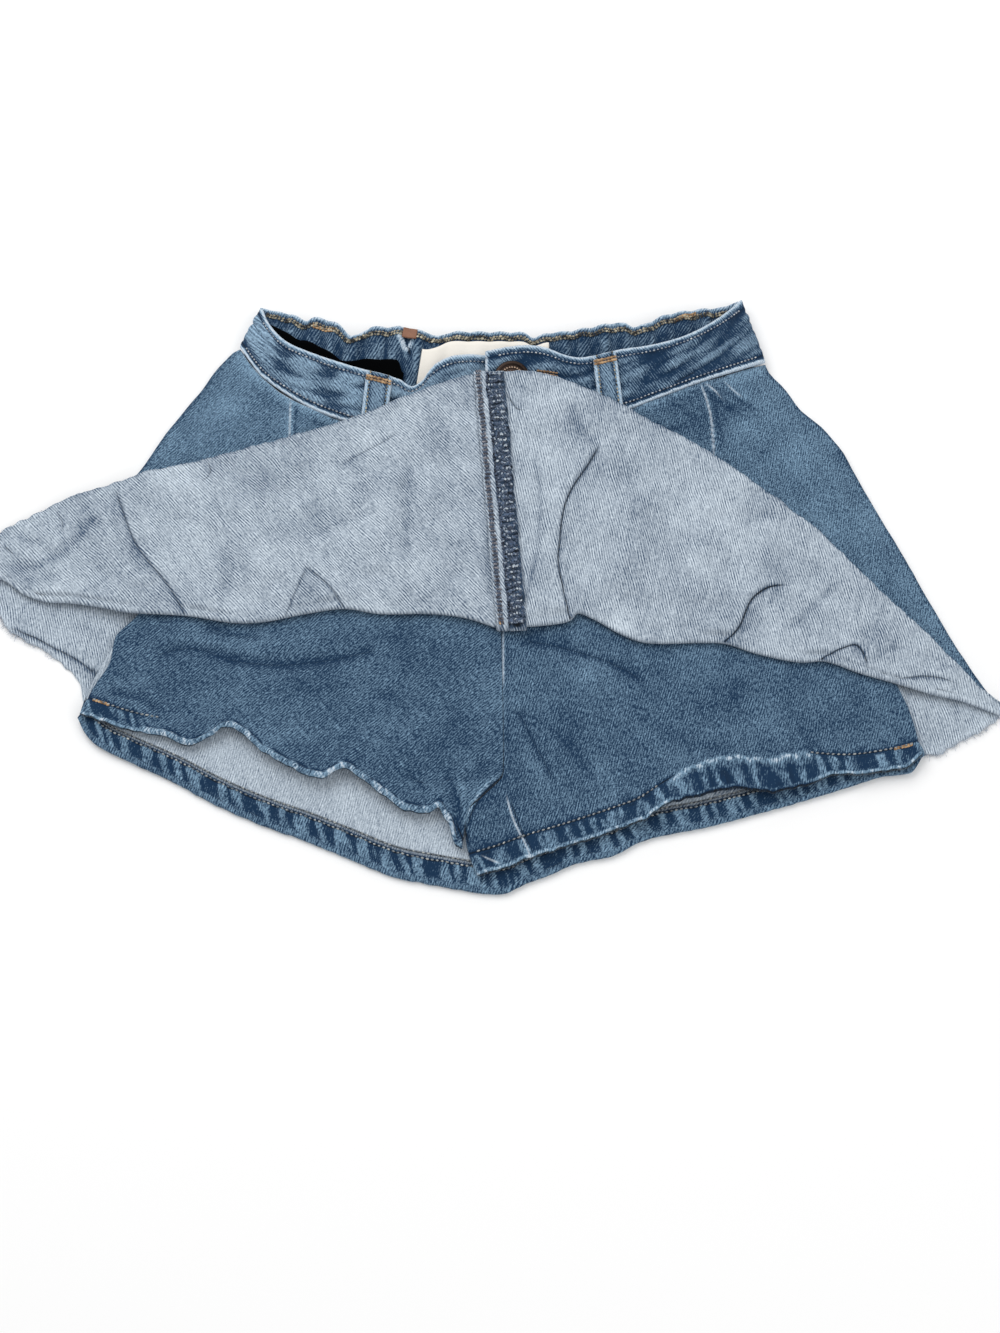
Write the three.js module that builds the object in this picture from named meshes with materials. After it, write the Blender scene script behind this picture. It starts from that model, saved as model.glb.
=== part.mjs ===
// A girls' denim skort, lying flat on its back with the hem towards the viewer.
// The front of the skirt is thrown up over the waistband, so that the wrong side of the cloth
// shows and the shorts beneath lie bare. Millimetres, +X to the viewer's right, +Y towards the
// waist, +Z up. Each cloth piece is a thin closed wall round a middle surface, and a middle
// surface is stretched between rails: the edges of the piece, each a short table of points.

import * as THREE from 'three';

// Driving sizes.
const CLOTH = 1.2; // denim, one thickness
const BAND = 2.6; // waistband, cloth folded double
const HEM_DEPTH = 9; // turned hem of the shorts
const HEM_STEP = 1.0; // what the turned hem adds to the wall
const SEAM_GAP = 0.3; // between pieces at a seam
const LOOP_THICKNESS = 1.8; // belt loop, folded cloth
const LOOP_STAND = 0.9; // how far a loop bows off the waistband
const TRIM_THICKNESS = 1.0; // label, facing and patch
const ALLOWANCE_WIDTH = 13.8; // overlocked allowance of the centre seam
const ALLOWANCE_THICKNESS = 1.6;
const GATHERS = 24; // gathers along the back waistband
const GATHER_RISE = 0.8;
const BUTTON_RADIUS = 9;

const DENIM_FACE = { color: 0x4e6881, roughness: 0.9, metalness: 0 };
const DENIM_WRONG = { color: 0xa7b2c0, roughness: 0.92, metalness: 0 };
const LABEL_CLOTH = { color: 0xf0ece2, roughness: 0.85, metalness: 0 };
const PATCH_LEATHER = { color: 0xa07a5c, roughness: 0.7, metalness: 0 };
const FACING_CLOTH = { color: 0x0b0d10, roughness: 0.95, metalness: 0 };
const BUTTON_METAL = { color: 0x3a3532, roughness: 0.42, metalness: 0.9 };

const skort = new THREE.Group();

const smooth = (t) => {
  const s = Math.min(1, Math.max(0, t));
  return s * s * (3 - 2 * s);
};

// A table with named columns: table('x y z', rows) gives one object for each row.
function table(columns, rows) {
  const names = columns.split(' ');
  return rows.map((row) => Object.fromEntries(names.map((name, i) => [name, row[i]])));
}

// A rail through the rows of a table, walked from 0 to 1 by its length.
function rail(columns, rows) {
  const points = table(columns, rows).map((p) => new THREE.Vector3(p.x, p.y, p.z ?? 0));
  const curve = new THREE.CatmullRomCurve3(points, false, 'centripetal');
  curve.arcLengthDivisions = 400;
  return (t) => curve.getPointAt(Math.min(1, Math.max(0, t)));
}

const shifted = (line, x, y, z = 0) => (t) => line(t).add(new THREE.Vector3(x, y, z));

// A surface between four rails. far and near run left to right, left and right run far to near.
function patch(far, near, left, right) {
  const farLeft = far(0);
  const farRight = far(1);
  const nearLeft = near(0);
  const nearRight = near(1);
  return (u, v) => {
    const point = far(u).multiplyScalar(1 - v);
    point.addScaledVector(near(u), v);
    point.addScaledVector(left(v), 1 - u);
    point.addScaledVector(right(v), u);
    point.addScaledVector(farLeft, -(1 - u) * (1 - v));
    point.addScaledVector(farRight, -u * (1 - v));
    point.addScaledVector(nearLeft, -(1 - u) * v);
    point.addScaledVector(nearRight, -u * v);
    return point;
  };
}

const straight = (a, b) => (t) => a.clone().lerp(b, t);

// A surface ruled between two rails, with straight ends.
const strip = (far, near) => patch(far, near, straight(far(0), near(0)), straight(far(1), near(1)));

const steps = (count) => Array.from({ length: count + 1 }, (_, i) => i / count);

// Rows of points of a surface.
const grid = (surface, us, vs) => vs.map((v) => us.map((u) => surface(u, v)));

// The surface's normals at the points of a grid.
function normals(rows) {
  const last = rows.length - 1;
  const end = rows[0].length - 1;
  return rows.map((row, j) => row.map((_, i) => {
    const across = row[Math.min(i + 1, end)].clone().sub(row[Math.max(i - 1, 0)]);
    const along = rows[Math.min(j + 1, last)][i].clone().sub(rows[Math.max(j - 1, 0)][i]);
    return along.cross(across).normalize();
  }));
}

// A grid moved out along its own normals.
function moved(rows, distance) {
  const out = normals(rows);
  return rows.map((row, j) => row.map((p, i) => p.clone().addScaledVector(out[j][i], distance)));
}

// The closed wall round a grid of points: up and down give its reach on either side.
function wall(name, finish, rows, up = () => CLOTH / 2, down = () => CLOTH / 2) {
  const out = normals(rows);
  const height = rows.length;
  const width = rows[0].length;
  const position = [];
  for (const side of [1, -1]) {
    rows.forEach((row, j) => row.forEach((p, i) => {
      const u = i / (width - 1);
      const v = j / (height - 1);
      const reach = side > 0 ? up(u, v) : -down(u, v);
      position.push(...p.clone().addScaledVector(out[j][i], reach).toArray());
    }));
  }
  const at = (side, j, i) => (side * height + j) * width + i;
  const index = [];
  const quad = (a, b, c, d) => index.push(a, b, c, a, c, d);
  for (let j = 0; j + 1 < height; j += 1) {
    for (let i = 0; i + 1 < width; i += 1) {
      quad(at(0, j, i), at(0, j + 1, i), at(0, j + 1, i + 1), at(0, j, i + 1));
      quad(at(1, j, i), at(1, j, i + 1), at(1, j + 1, i + 1), at(1, j + 1, i));
    }
    quad(at(0, j, 0), at(1, j, 0), at(1, j + 1, 0), at(0, j + 1, 0));
    quad(at(0, j, width - 1), at(0, j + 1, width - 1), at(1, j + 1, width - 1), at(1, j, width - 1));
  }
  for (let i = 0; i + 1 < width; i += 1) {
    const low = height - 1;
    quad(at(0, 0, i), at(0, 0, i + 1), at(1, 0, i + 1), at(1, 0, i));
    quad(at(0, low, i), at(1, low, i), at(1, low, i + 1), at(0, low, i + 1));
  }
  const geometry = new THREE.BufferGeometry();
  geometry.setAttribute('position', new THREE.Float32BufferAttribute(position, 3));
  geometry.setIndex(index);
  return add(name, finish, geometry);
}

function add(name, finish, geometry) {
  const mesh = new THREE.Mesh(geometry, new THREE.MeshStandardMaterial(finish));
  mesh.name = name;
  skort.add(mesh);
  return mesh;
}

// Waistband. The front is lifted off the back, so the waist gapes, and meets it at both sides.

const bandFrontLeft = strip(
  rail('x y z', [
    [-120, 189.4, 6.5],
    [-116, 179.5, 9],
    [-107, 168, 12],
    [-94, 160.4, 14],
    [-69, 151.2, 14.5],
    [-57, 148.2, 14],
    [-49, 145.9, 12],
    [-43.5, 143, 11],
    [-38, 145.9, 12],
    [-33, 152.6, 14],
    [-26, 157, 15],
    [-16, 159.8, 13],
    [-8, 160.4, 11],
    [16, 160.6, 11],
  ]),
  rail('x y z', [
    [-130, 168.6, 5],
    [-124, 158.8, 7],
    [-117, 149.7, 8],
    [-94, 133.4, 8.5],
    [-76, 125.7, 8.5],
    [-59, 120.7, 8.5],
    [-43, 118.6, 8.5],
    [-25, 126.2, 8.5],
    [-14, 130.4, 6.4],
    [-7, 132.4, 4.6],
    [16, 133.4, 4.6],
  ]),
);

const bandFrontRight = strip(
  rail('x y z', [
    [-7, 160.4, 15],
    [2.5, 162.6, 15],
    [15, 163.8, 15],
    [24, 162, 15],
    [31, 158.7, 15],
    [40, 157, 15],
    [60, 161.5, 15],
    [74, 163.8, 15],
    [89.5, 168.5, 14.5],
    [102, 175.5, 13],
    [113.4, 185, 10],
    [121.4, 194, 6.5],
  ]),
  rail('x y z', [
    [-7, 132.8, 8.5],
    [10, 134, 8.5],
    [30, 131.7, 8.5],
    [44, 129.5, 8.5],
    [60, 131.2, 8.5],
    [79, 139, 8.5],
    [99, 147.2, 8.5],
    [122, 155.5, 7.5],
    [132.2, 160, 5],
  ]),
);

// Notches where the gathered top edge of the back waistband sinks between its waves.
const notches = table('x depth width', [
  [-98, 2.6, 4],
  [-73.5, 7, 6],
  [-31, 2.6, 4],
  [17.5, 2.8, 4],
  [68, 2.4, 6],
]);

const bandBackEdge = rail('x y z', [
  [-120.4, 191.2, 3.4],
  [-113.5, 188.2, 5.5],
  [-104, 185.6, 7],
  [-92, 183.4, 8],
  [-84, 181.4, 8],
  [-60, 178, 8],
  [-50, 177.8, 8],
  [-38, 175.5, 8],
  [-20, 175.2, 8],
  [5, 175, 8],
  [30, 175, 8],
  [45, 177.6, 8],
  [58, 180.4, 8],
  [74, 181, 8],
  [84, 185, 8],
  [101, 188.2, 7.5],
  [112, 190.4, 5.5],
  [120, 194.8, 3.4],
]);

const bandBackTop = (t) => {
  const point = bandBackEdge(t);
  for (const notch of notches) {
    point.y -= notch.depth * Math.exp(-(((point.x - notch.x) / notch.width) ** 2));
  }
  return point;
};

const bandBackSeam = rail('x y z', [
  [-127.5, 168, 2],
  [-118, 158, 1.7],
  [-100, 150, 1.6],
  [-60, 147, 1.6],
  [0, 147, 1.6],
  [60, 149, 1.6],
  [100, 157, 1.6],
  [121, 160, 1.7],
  [130, 160.5, 2],
]);

const bandBackPlain = strip(bandBackTop, bandBackSeam);
const bandBack = (u, v) => {
  const point = bandBackPlain(u, v);
  const ends = smooth(u / 0.08) * smooth((1 - u) / 0.08);
  point.z += GATHER_RISE * Math.cos(2 * Math.PI * GATHERS * u) * ends * smooth((1 - v) * 1.6);
  return point;
};

const half = (thickness) => () => thickness / 2;

wall('waistband_front_left', DENIM_FACE, grid(bandFrontLeft, steps(30), steps(3)),
  half(BAND), half(BAND));
wall('waistband_front_right', DENIM_FACE, grid(bandFrontRight, steps(26), steps(3)),
  half(BAND), half(BAND));
const backColumns = steps(GATHERS * 3);
wall('waistband_back', DENIM_FACE, grid(bandBack, backColumns, steps(4)), half(BAND), half(BAND));

// Trim that lies on a surface, made from its points moved out. from and to are shares of its
// length, and edge(u) is how far down the trim's far edge lies.
function trim(name, finish, surface, columns, edge, low, reach, thickness, count) {
  const rows = steps(count).map((t) => columns.map((u) => surface(u, edge(u) + t * (low - edge(u)))));
  const lifted = moved(rows, reach + SEAM_GAP + thickness / 2);
  return wall(name, finish, lifted, half(thickness), half(thickness));
}

const between = (us, low, high) => us.filter((u) => u >= low && u <= high);

// Where each trim lies: from and to are shares of the waistband's length, far and low of its depth.
const FACING = { from: 0.03, to: 0.32, far: 0.3, low: 0.97 };
const LABEL = { from: 0.347, to: 0.595, far: 0.2, low: 0.95 };
const PATCH = { from: 0.3, to: 0.334, far: 0.02, low: 0.2 };

// Black facing inside the back waistband: its far edge falls away from the side, and its other
// end is rounded.
const facingEdge = (u) => FACING.far + 0.26 * smooth((u - FACING.from) / 0.22)
  + 0.2 * smooth((u - FACING.to + 0.02) / 0.02);
trim('facing', FACING_CLOTH, bandBack, between(backColumns, FACING.from, FACING.to), facingEdge,
  FACING.low, BAND / 2, TRIM_THICKNESS, 3);

// The label's far edge is lower at its left end, where the waistband folds over it.
const labelEdge = (u) => LABEL.far + 0.13 * smooth((LABEL.from + 0.043 - u) / 0.04);
trim('label', LABEL_CLOTH, bandBack, between(backColumns, LABEL.from, LABEL.to), labelEdge,
  LABEL.low, BAND / 2, TRIM_THICKNESS, 3);

trim('patch', PATCH_LEATHER, bandBack, between(backColumns, PATCH.from, PATCH.to), () => PATCH.far,
  PATCH.low, BAND / 2, TRIM_THICKNESS, 2);

// Belt loops stand a little off the waistband between their two sewn ends. A loop's left side
// runs from the share farU of the waistband's upper edge to the share nearU of its lower edge.
function beltLoop(name, band, farU, nearU, share) {
  const ends = [0.03, 0.98];
  const rows = steps(6).map((t) => {
    const v = ends[0] + t * (ends[1] - ends[0]);
    return steps(2).map((s) => band(farU + v * (nearU - farU) + s * share, v));
  });
  const out = normals(rows);
  const lifted = rows.map((row, j) => row.map((p, i) => {
    const stand = LOOP_STAND * Math.sin((Math.PI * j) / (rows.length - 1));
    return p.clone().addScaledVector(out[j][i], BAND / 2 + SEAM_GAP + LOOP_THICKNESS / 2 + stand);
  }));
  wall(name, DENIM_FACE, lifted, half(LOOP_THICKNESS), half(LOOP_THICKNESS));
}

beltLoop('belt_loop_left', bandFrontLeft, 0.445, 0.475, 0.073);
beltLoop('belt_loop_right', bandFrontRight, 0.385, 0.388, 0.078);

// Button: a shank button, its head turned about its own axis, standing on the lapped end. Its
// profile gives each radius as a share of the button's.
const buttonProfile = table('share z', [
  [0, 0],
  [0.82, 0],
  [0.93, 0.5],
  [1, 1.5],
  [0.97, 2.5],
  [0.88, 3.1],
  [0.78, 2.9],
  [0.71, 2.5],
  [0.36, 2.7],
  [0.29, 3.2],
  [0.16, 3.5],
  [0, 3.6],
]);
const profile = buttonProfile.map((p) => new THREE.Vector2(p.share * BUTTON_RADIUS, p.z));
const button = add('button', BUTTON_METAL, new THREE.LatheGeometry(profile, 24));
const buttonSeat = grid(bandFrontRight, [0.06, 0.09, 0.12], [0.46, 0.56, 0.66]);
const buttonNormal = normals(buttonSeat)[1][1];
button.position.copy(buttonSeat[1][1]).addScaledVector(buttonNormal, BAND / 2 + SEAM_GAP);
button.quaternion.setFromUnitVectors(new THREE.Vector3(0, 1, 0), buttonNormal);

// Shorts. Each leg has a front and a back, with a turned hem. The front rises towards its hem, so
// the leg gapes there and shows the inside of its back.

const shortsFrontHeight = 5; // middle surface, under the fold of the skirt
const shortsSideHeight = 3.7;

function shortsFront(far, hem, left, right, sideAt) {
  const flat = patch(far, hem, left, right);
  return (u, v) => {
    const point = flat(u, v);
    const side = smooth(Math.abs(u - sideAt) / 0.14);
    const rest = shortsSideHeight + (shortsFrontHeight - shortsSideHeight) * side;
    point.z = rest + (hem(u).z - rest) * v ** 6;
    return point;
  };
}

const crotch = [
  [0, 127],
  [0, 60],
  [1, 0],
  [1.6, -50],
  [0.9, -56],
  [-7.4, -65],
  [-15.7, -73.6],
];
const thighLeft = rail('x y', [...crotch, [-17.4, -83.2]]);
const thighRight = rail('x y', [...crotch, [-16.1, -80.3], [-15.1, -90.7], [-10.1, -103.6]]);

const shortsFrontLeft = shortsFront(
  rail('x y', [
    [-108, 134],
    [-76, 122],
    [-43, 115.5],
    [-20, 122],
    [0, 127],
  ]),
  rail('x y z', [
    [-196.8, -26, 6.4],
    [-174, -33.8, 6.4],
    [-156.7, -37.4, 6.6],
    [-144.7, -41.7, 7],
    [-135.4, -37.6, 7.5],
    [-128.5, -33.5, 8.5],
    [-121.3, -35.6, 9],
    [-111.6, -44.4, 9.3],
    [-97.4, -53, 9.3],
    [-83.4, -58.4, 9.3],
    [-72, -53.9, 9.3],
    [-62.5, -59.8, 9.3],
    [-53, -67, 9],
    [-43.8, -73.6, 8.5],
    [-32.2, -74.8, 8],
    [-27.7, -72.4, 8],
    [-24.4, -78, 7.2],
    [-17.4, -83.2, 6.2],
  ]),
  rail('x y', [
    [-108, 134],
    [-150, 80],
    [-172.3, 25.8],
    [-182.6, 14],
    [-185, 0],
    [-191.2, -12],
    [-196.8, -26],
  ]),
  shifted(thighLeft, -SEAM_GAP, SEAM_GAP),
  0,
);

const shortsFrontRight = shortsFront(
  rail('x y', [
    [0, 127],
    [30, 126],
    [60, 125.5],
    [90, 137],
    [110, 146],
  ]),
  rail('x y z', [
    [-10.1, -103.6, 6],
    [2.3, -99.7, 6],
    [10.5, -96.5, 6.2],
    [36.3, -87.9, 6.2],
    [58, -80.3, 7.2],
    [67.2, -76.6, 8],
    [79.3, -68.1, 8.5],
    [94.8, -59.6, 9],
    [107.4, -56.2, 9],
    [126, -57.4, 8],
    [141.5, -54.8, 7.5],
    [165, -55.8, 6.6],
    [188, -52.3, 6.4],
    [196.4, -50.1, 6.4],
  ]),
  shifted(thighRight, SEAM_GAP, -SEAM_GAP),
  rail('x y', [
    [110, 146],
    [150, 80],
    [176, 20],
    [186.6, -8.6],
    [193, -27],
    [196.4, -50.1],
  ]),
  1,
);

const shortsBackHeight = 2.3; // on the skirt's back
const floorHeight = 0.75; // at the hem, on the surface that the skort lies on

function shortsBack(far, hem, left, right, sideAt) {
  const flat = patch(far, hem, left, right);
  return (u, v) => {
    const point = flat(u, v);
    const drop = smooth((v - 0.94) / 0.06) * smooth(Math.abs(u - sideAt) / 0.3);
    point.z = shortsBackHeight + (floorHeight - shortsBackHeight) * drop;
    return point;
  };
}

const thighBack = rail('x y', [
  [0, 146.2],
  [0, 40],
  [0, -50],
  [-4.6, -80],
  [-8.8, -110.5],
]);

const shortsBackLeft = shortsBack(
  rail('x y', [
    [-106, 149.5],
    [-80, 146.8],
    [0, 146.2],
  ]),
  rail('x y', [
    [-198, -27],
    [-193.5, -35],
    [-187, -40.8],
    [-173.6, -47.4],
    [-152.5, -57.2],
    [-131.5, -68.6],
    [-111, -77.8],
    [-90, -85.6],
    [-69.5, -94.1],
    [-49, -102.6],
    [-28, -107],
    [-8.8, -110.5],
  ]),
  rail('x y', [
    [-106, 149.5],
    [-150, 84],
    [-172, 26],
    [-186, 6],
    [-194.6, -13.5],
    [-198, -27],
  ]),
  shifted(thighBack, -SEAM_GAP / 2, 0),
  0,
);

const shortsBackRight = shortsBack(
  rail('x y', [
    [0, 146.2],
    [60, 147],
    [106, 156],
  ]),
  rail('x y', [
    [-8.8, -110.5],
    [2, -110.6],
    [11.5, -106],
    [21.6, -102.2],
    [31.7, -97.6],
    [42, -94.8],
    [52, -92.8],
    [62.3, -87.2],
    [72.6, -83.7],
    [93, -79.6],
    [113.6, -74.3],
    [145, -65.3],
    [165.5, -58.8],
    [176, -55.6],
    [198.2, -52.8],
  ]),
  shifted(thighBack, SEAM_GAP / 2, 0),
  rail('x y', [
    [106, 156],
    [150, 84],
    [178, 20],
    [190, -12],
    [198.2, -52.8],
  ]),
  1,
);

// The turned hem makes the wall thicker at its last rows, on the inside of the leg. Both legs
// have a row at each bend of the seam that they share.
const SHORTS_LENGTH = 190;
const hemStart = 1 - HEM_DEPTH / SHORTS_LENGTH;
const plainRows = [0, 0.2, 0.4, 0.56, 0.7];
const rowsLeft = [...plainRows, 0.816, 0.843, 0.9, hemStart, 1];
const rowsRight = [...plainRows, 0.743, 0.768, 0.82, 0.87, 0.91, hemStart, 1];
const rowsBack = [...plainRows, 0.82, 0.91, hemStart, 1];

function shortsWall(name, surface, count, shares, isFront) {
  const rows = grid(surface, steps(count), shares);
  const inside = (u, v) => {
    const share = shares[Math.round(v * (shares.length - 1))];
    return CLOTH / 2 + (share >= hemStart ? HEM_STEP : 0);
  };
  const outside = half(CLOTH);
  return wall(name, DENIM_FACE, rows, isFront ? outside : inside, isFront ? inside : outside);
}

shortsWall('shorts_front_left', shortsFrontLeft, 24, rowsLeft, true);
shortsWall('shorts_front_right', shortsFrontRight, 20, rowsRight, true);
shortsWall('shorts_back_left', shortsBackLeft, 12, rowsBack, false);
shortsWall('shorts_back_right', shortsBackRight, 12, rowsBack, false);

// Skirt back: flat on the surface beneath.
const skirtBackHeight = CLOTH / 2;
const skirtBackFlat = patch(
  rail('x y', [
    [-127.8, 167.4],
    [-118, 157.2],
    [-100, 149.2],
    [-60, 146.2],
    [0, 146.2],
    [60, 148.2],
    [100, 156.2],
    [121, 159.2],
    [130, 159.6],
  ]),
  rail('x y', [
    [-250.6, 42],
    [-240, 24.7],
    [-232, 15.7],
    [-216.5, 7.5],
    [-207.4, 0],
    [-199.5, -8],
    [-195.8, -21],
    [-186, -30],
    [-150, -46],
    [-100, -68],
    [-50, -88],
    [0, -96],
    [50, -82],
    [100, -64],
    [150, -50],
    [186, -42],
    [204, -45],
    [212, -40],
    [225.6, -33.2],
    [236.6, -24.4],
  ]),
  rail('x y', [
    [-127.8, 167.4],
    [-133, 165.4],
    [-141, 156.4],
    [-148, 145.3],
    [-156, 134.2],
    [-163.3, 123.2],
    [-169.8, 112.3],
    [-176.5, 101.2],
    [-204, 69.4],
    [-227, 52.4],
    [-250.6, 42],
  ]),
  rail('x y', [
    [130, 159.6],
    [138, 149.8],
    [141.7, 145.4],
    [148.5, 134.4],
    [159.3, 123.4],
    [167.6, 112.4],
    [172.4, 101.6],
    [182.6, 80],
    [193.2, 58.2],
    [202.9, 37.2],
    [212.5, 16.6],
    [223, -3.4],
    [236.6, -24.4],
  ]),
);
const skirtBack = (u, v) => skirtBackFlat(u, v).setZ(skirtBackHeight);
wall('skirt_back', DENIM_WRONG, grid(skirtBack, steps(24), steps(8)));

// Skirt front. Each panel runs from the waist seam to the fold, round it, and back up over itself
// to its raw hem, wrong side out. Its height in the fold's table is that of the under layer.

const FOLD_REACH = 2.4; // how far the fold bulges past the end of its two layers
const TIP_LEFT = -250.8;
const TIP_RIGHT = 235.5;
const loft = (x) => 2.2 + 2.4 * smooth(Math.min(x - TIP_LEFT, TIP_RIGHT - x) / 45);

// Folds of cloth that lies free: each is a soft ridge, or a trough where its height is below 0.
function relief(folds, point) {
  let height = 0;
  for (const fold of folds) {
    const along = new THREE.Vector2(fold.x1 - fold.x0, fold.y1 - fold.y0);
    const from = new THREE.Vector2(point.x - fold.x0, point.y - fold.y0);
    const t = Math.min(1, Math.max(0, from.dot(along) / along.lengthSq()));
    const apart = from.addScaledVector(along, -t).length() / fold.width;
    height += fold.height * Math.exp(-apart * apart);
  }
  return height;
}

const pleats = table('x0 y0 x1 y1 height width', [
  [-104, 136, -104, 110, 1.2, 5],
  [-118, 144, -123, 126, 0.7, 6],
  [101, 142, 104, 104, 1.2, 5],
  [118, 148, 127, 124, 0.7, 6],
]);

const flapFolds = table('x0 y0 x1 y1 height width', [
  [-184, 88, -152, 30, -1.6, 6],
  [-198, 74, -176, 34, 1.2, 9],
  [-135, 70, -133, 34, -1.1, 8],
  [-116, 90, -112, 34, 1, 12],
  [-93, 52, -103, 32, -1.2, 6],
  [-45, 100, -47, 53, -1.1, 9],
  [-66, 96, -60, 40, 1, 10],
  [24, 108, 14, 34, 1.8, 9],
  [44, 106, 30, 34, -1.8, 6],
  [66, 92, 58, 30, 1.1, 14],
  [106, 14, 124, 36, -1.5, 6],
  [92, 60, 100, 24, 1.2, 12],
  [132, 22, 156, 36, -1.1, 6],
  [150, 40, 190, 0, 1.1, 9],
]);

function skirtPanel(seam, fold, hem, side, leftHanded) {
  const low = shifted(fold, 0, FOLD_REACH);
  const high = (u) => {
    const point = low(u);
    point.z += loft(point.x);
    return point;
  };
  const centre = leftHanded ? straight(seam(1), low(1)) : straight(seam(0), low(0));
  const under = leftHanded ? patch(seam, low, side, centre) : patch(seam, low, centre, side);
  const over = strip(high, hem);
  const apart = (leftHanded ? -SEAM_GAP : SEAM_GAP) / 2;
  return (u, w) => {
    let point;
    if (w <= 1) {
      point = under(u, w);
      point.z += relief(pleats, point) * smooth((1 - w) / 0.3);
    } else if (w < 2) {
      const turn = Math.PI * (w - 1);
      point = low(u).lerp(high(u), (1 - Math.cos(turn)) / 2);
      point.y -= FOLD_REACH * Math.sin(turn);
    } else {
      point = over(u, w - 2);
      point.z += relief(flapFolds, point) * smooth((w - 2) / 0.15);
    }
    point.x += apart;
    return point;
  };
}

const panelLeft = skirtPanel(
  rail('x y z', [
    [-130.2, 167.8, 3.4],
    [-124.4, 158.2, 5.8],
    [-117.2, 149.2, 7.2],
    [-106.7, 140, 7.9],
    [-94.2, 132.9, 7.9],
    [-76.3, 125.2, 7.9],
    [-59.2, 120.2, 7.9],
    [-43.2, 118.1, 7.9],
    [-24.8, 125.7, 7.9],
    [-12, 129.8, 7.9],
    [-1.5, 131.6, 7.9],
  ]),
  rail('x y z', [
    [TIP_LEFT, 42.4, 2.9],
    [-240, 43.6, 3],
    [-228.4, 35.9, 3.2],
    [-218, 31.9, 3.6],
    [-205, 30.7, 4.6],
    [-192, 28.4, 5.6],
    [-178, 25.4, 6.4],
    [-149, 23.3, 7],
    [-126, 19.7, 7],
    [-111.7, 20.3, 7],
    [-95, 23.8, 7],
    [-74, 26.9, 7],
    [-57, 24.3, 7],
    [-33, 24.3, 7],
    [-16.7, 22.3, 7],
    [-1.5, 17.2, 7],
  ]),
  rail('x y z', [
    [-249.7, 52, 4.6],
    [-242, 67.6, 4],
    [-228, 75.4, 4.5],
    [-215, 82.4, 6],
    [-194.4, 89.6, 8],
    [-175.3, 96, 9.5],
    [-146.4, 102.9, 10.5],
    [-122, 109.7, 11],
    [-103, 115.2, 11.8],
    [-76, 123.3, 13.4],
    [-60, 128.6, 16],
    [-49, 133.6, 16],
    [-29.5, 141.6, 17],
    [-12.8, 145.8, 18.5],
  ]),
  rail('x y z', [
    [-130.2, 167.8, 3.4],
    [-133.4, 166.2, 2.6],
    [-141.3, 156.8, 2.4],
    [-148.3, 145.7, 2.4],
    [-156.2, 134.6, 2.4],
    [-163.5, 123.6, 2.4],
    [-170, 112.7, 2.4],
    [-176.8, 101.5, 2.4],
    [-204.3, 69.5, 2.4],
    [-227.2, 53.4, 2.6],
    [TIP_LEFT, 44.8, 2.9],
  ]),
  true,
);

const panelRight = skirtPanel(
  rail('x y z', [
    [-1.5, 131.6, 7.9],
    [10, 133.4, 7.9],
    [30, 131.2, 7.9],
    [44, 129, 7.9],
    [60, 130.7, 7.9],
    [79.1, 138.5, 7.9],
    [99.2, 146.7, 7.9],
    [122, 154.9, 6.4],
    [132.4, 159.2, 3.4],
  ]),
  rail('x y z', [
    [-1.5, 17.2, 7],
    [19, 18.2, 7],
    [33, 20.8, 7],
    [36.7, 24.5, 7],
    [45, 21.3, 7],
    [57, 14.1, 7],
    [69, 9.6, 7],
    [95, 9.6, 7],
    [106.6, 9.1, 7],
    [121.5, 4, 7],
    [141.7, -0.3, 7],
    [153.5, 0.2, 6.9],
    [170, -5.7, 6.5],
    [186, -10.3, 5.7],
    [203.5, -15.5, 4.4],
    [217.6, -18.6, 3.5],
    [TIP_RIGHT, -25.6, 2.9],
  ]),
  rail('x y z', [
    [-12.8, 145.8, 18.5],
    [0, 147.3, 18.6],
    [9.8, 147.4, 18.5],
    [24.6, 145.5, 18],
    [49, 135.8, 16.5],
    [73.5, 123.2, 13.5],
    [97.7, 109.2, 12],
    [126.3, 88.2, 11],
    [154.2, 64.1, 10.5],
    [177, 38.8, 10],
    [204, 11.5, 8],
    [227.8, -14.4, 6],
    [236.2, -21.2, 5.2],
  ]),
  rail('x y z', [
    [132.4, 159.2, 3.4],
    [134, 155.4, 2.6],
    [138.5, 150, 2.4],
    [142, 145.8, 2.4],
    [148.8, 134.7, 2.4],
    [159.7, 123.7, 2.4],
    [168, 112.7, 2.4],
    [172.8, 102, 2.4],
    [183, 80.3, 2.4],
    [193.6, 58.5, 2.4],
    [203.3, 37.5, 2.4],
    [212.9, 17, 2.4],
    [223.5, -3, 2.4],
    [TIP_RIGHT, -23.2, 2.9],
  ]),
  false,
);

const underRows = [0, 0.12, 0.3, 0.52, 0.76, 1];
const foldRows = [1.25, 1.5, 1.75];
const overRows = steps(10).map((t) => 2 + t);
const panelRows = [...underRows, ...foldRows, ...overRows];
wall('skirt_front_left', DENIM_WRONG, grid(panelLeft, steps(26), panelRows));
wall('skirt_front_right', DENIM_WRONG, grid(panelRight, steps(26), panelRows));

// Allowance of the centre seam, pressed to the right and lying on the wrong side of the cloth.
const foldLength = 252; // of the right panel, along its fold
const hemLength = 300; // and along its raw hem
const allowanceRows = [1.5, 1.75, ...overRows].map((w) => {
  const share = Math.max(0, w - 2);
  const width = ALLOWANCE_WIDTH / (foldLength + share * (hemLength - foldLength));
  return steps(3).map((t) => panelRight(t * width, w));
});
const allowanceReach = CLOTH / 2 + SEAM_GAP + ALLOWANCE_THICKNESS / 2;
wall('skirt_front_allowance', DENIM_FACE, moved(allowanceRows, -allowanceReach),
  half(ALLOWANCE_THICKNESS), half(ALLOWANCE_THICKNESS));

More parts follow.
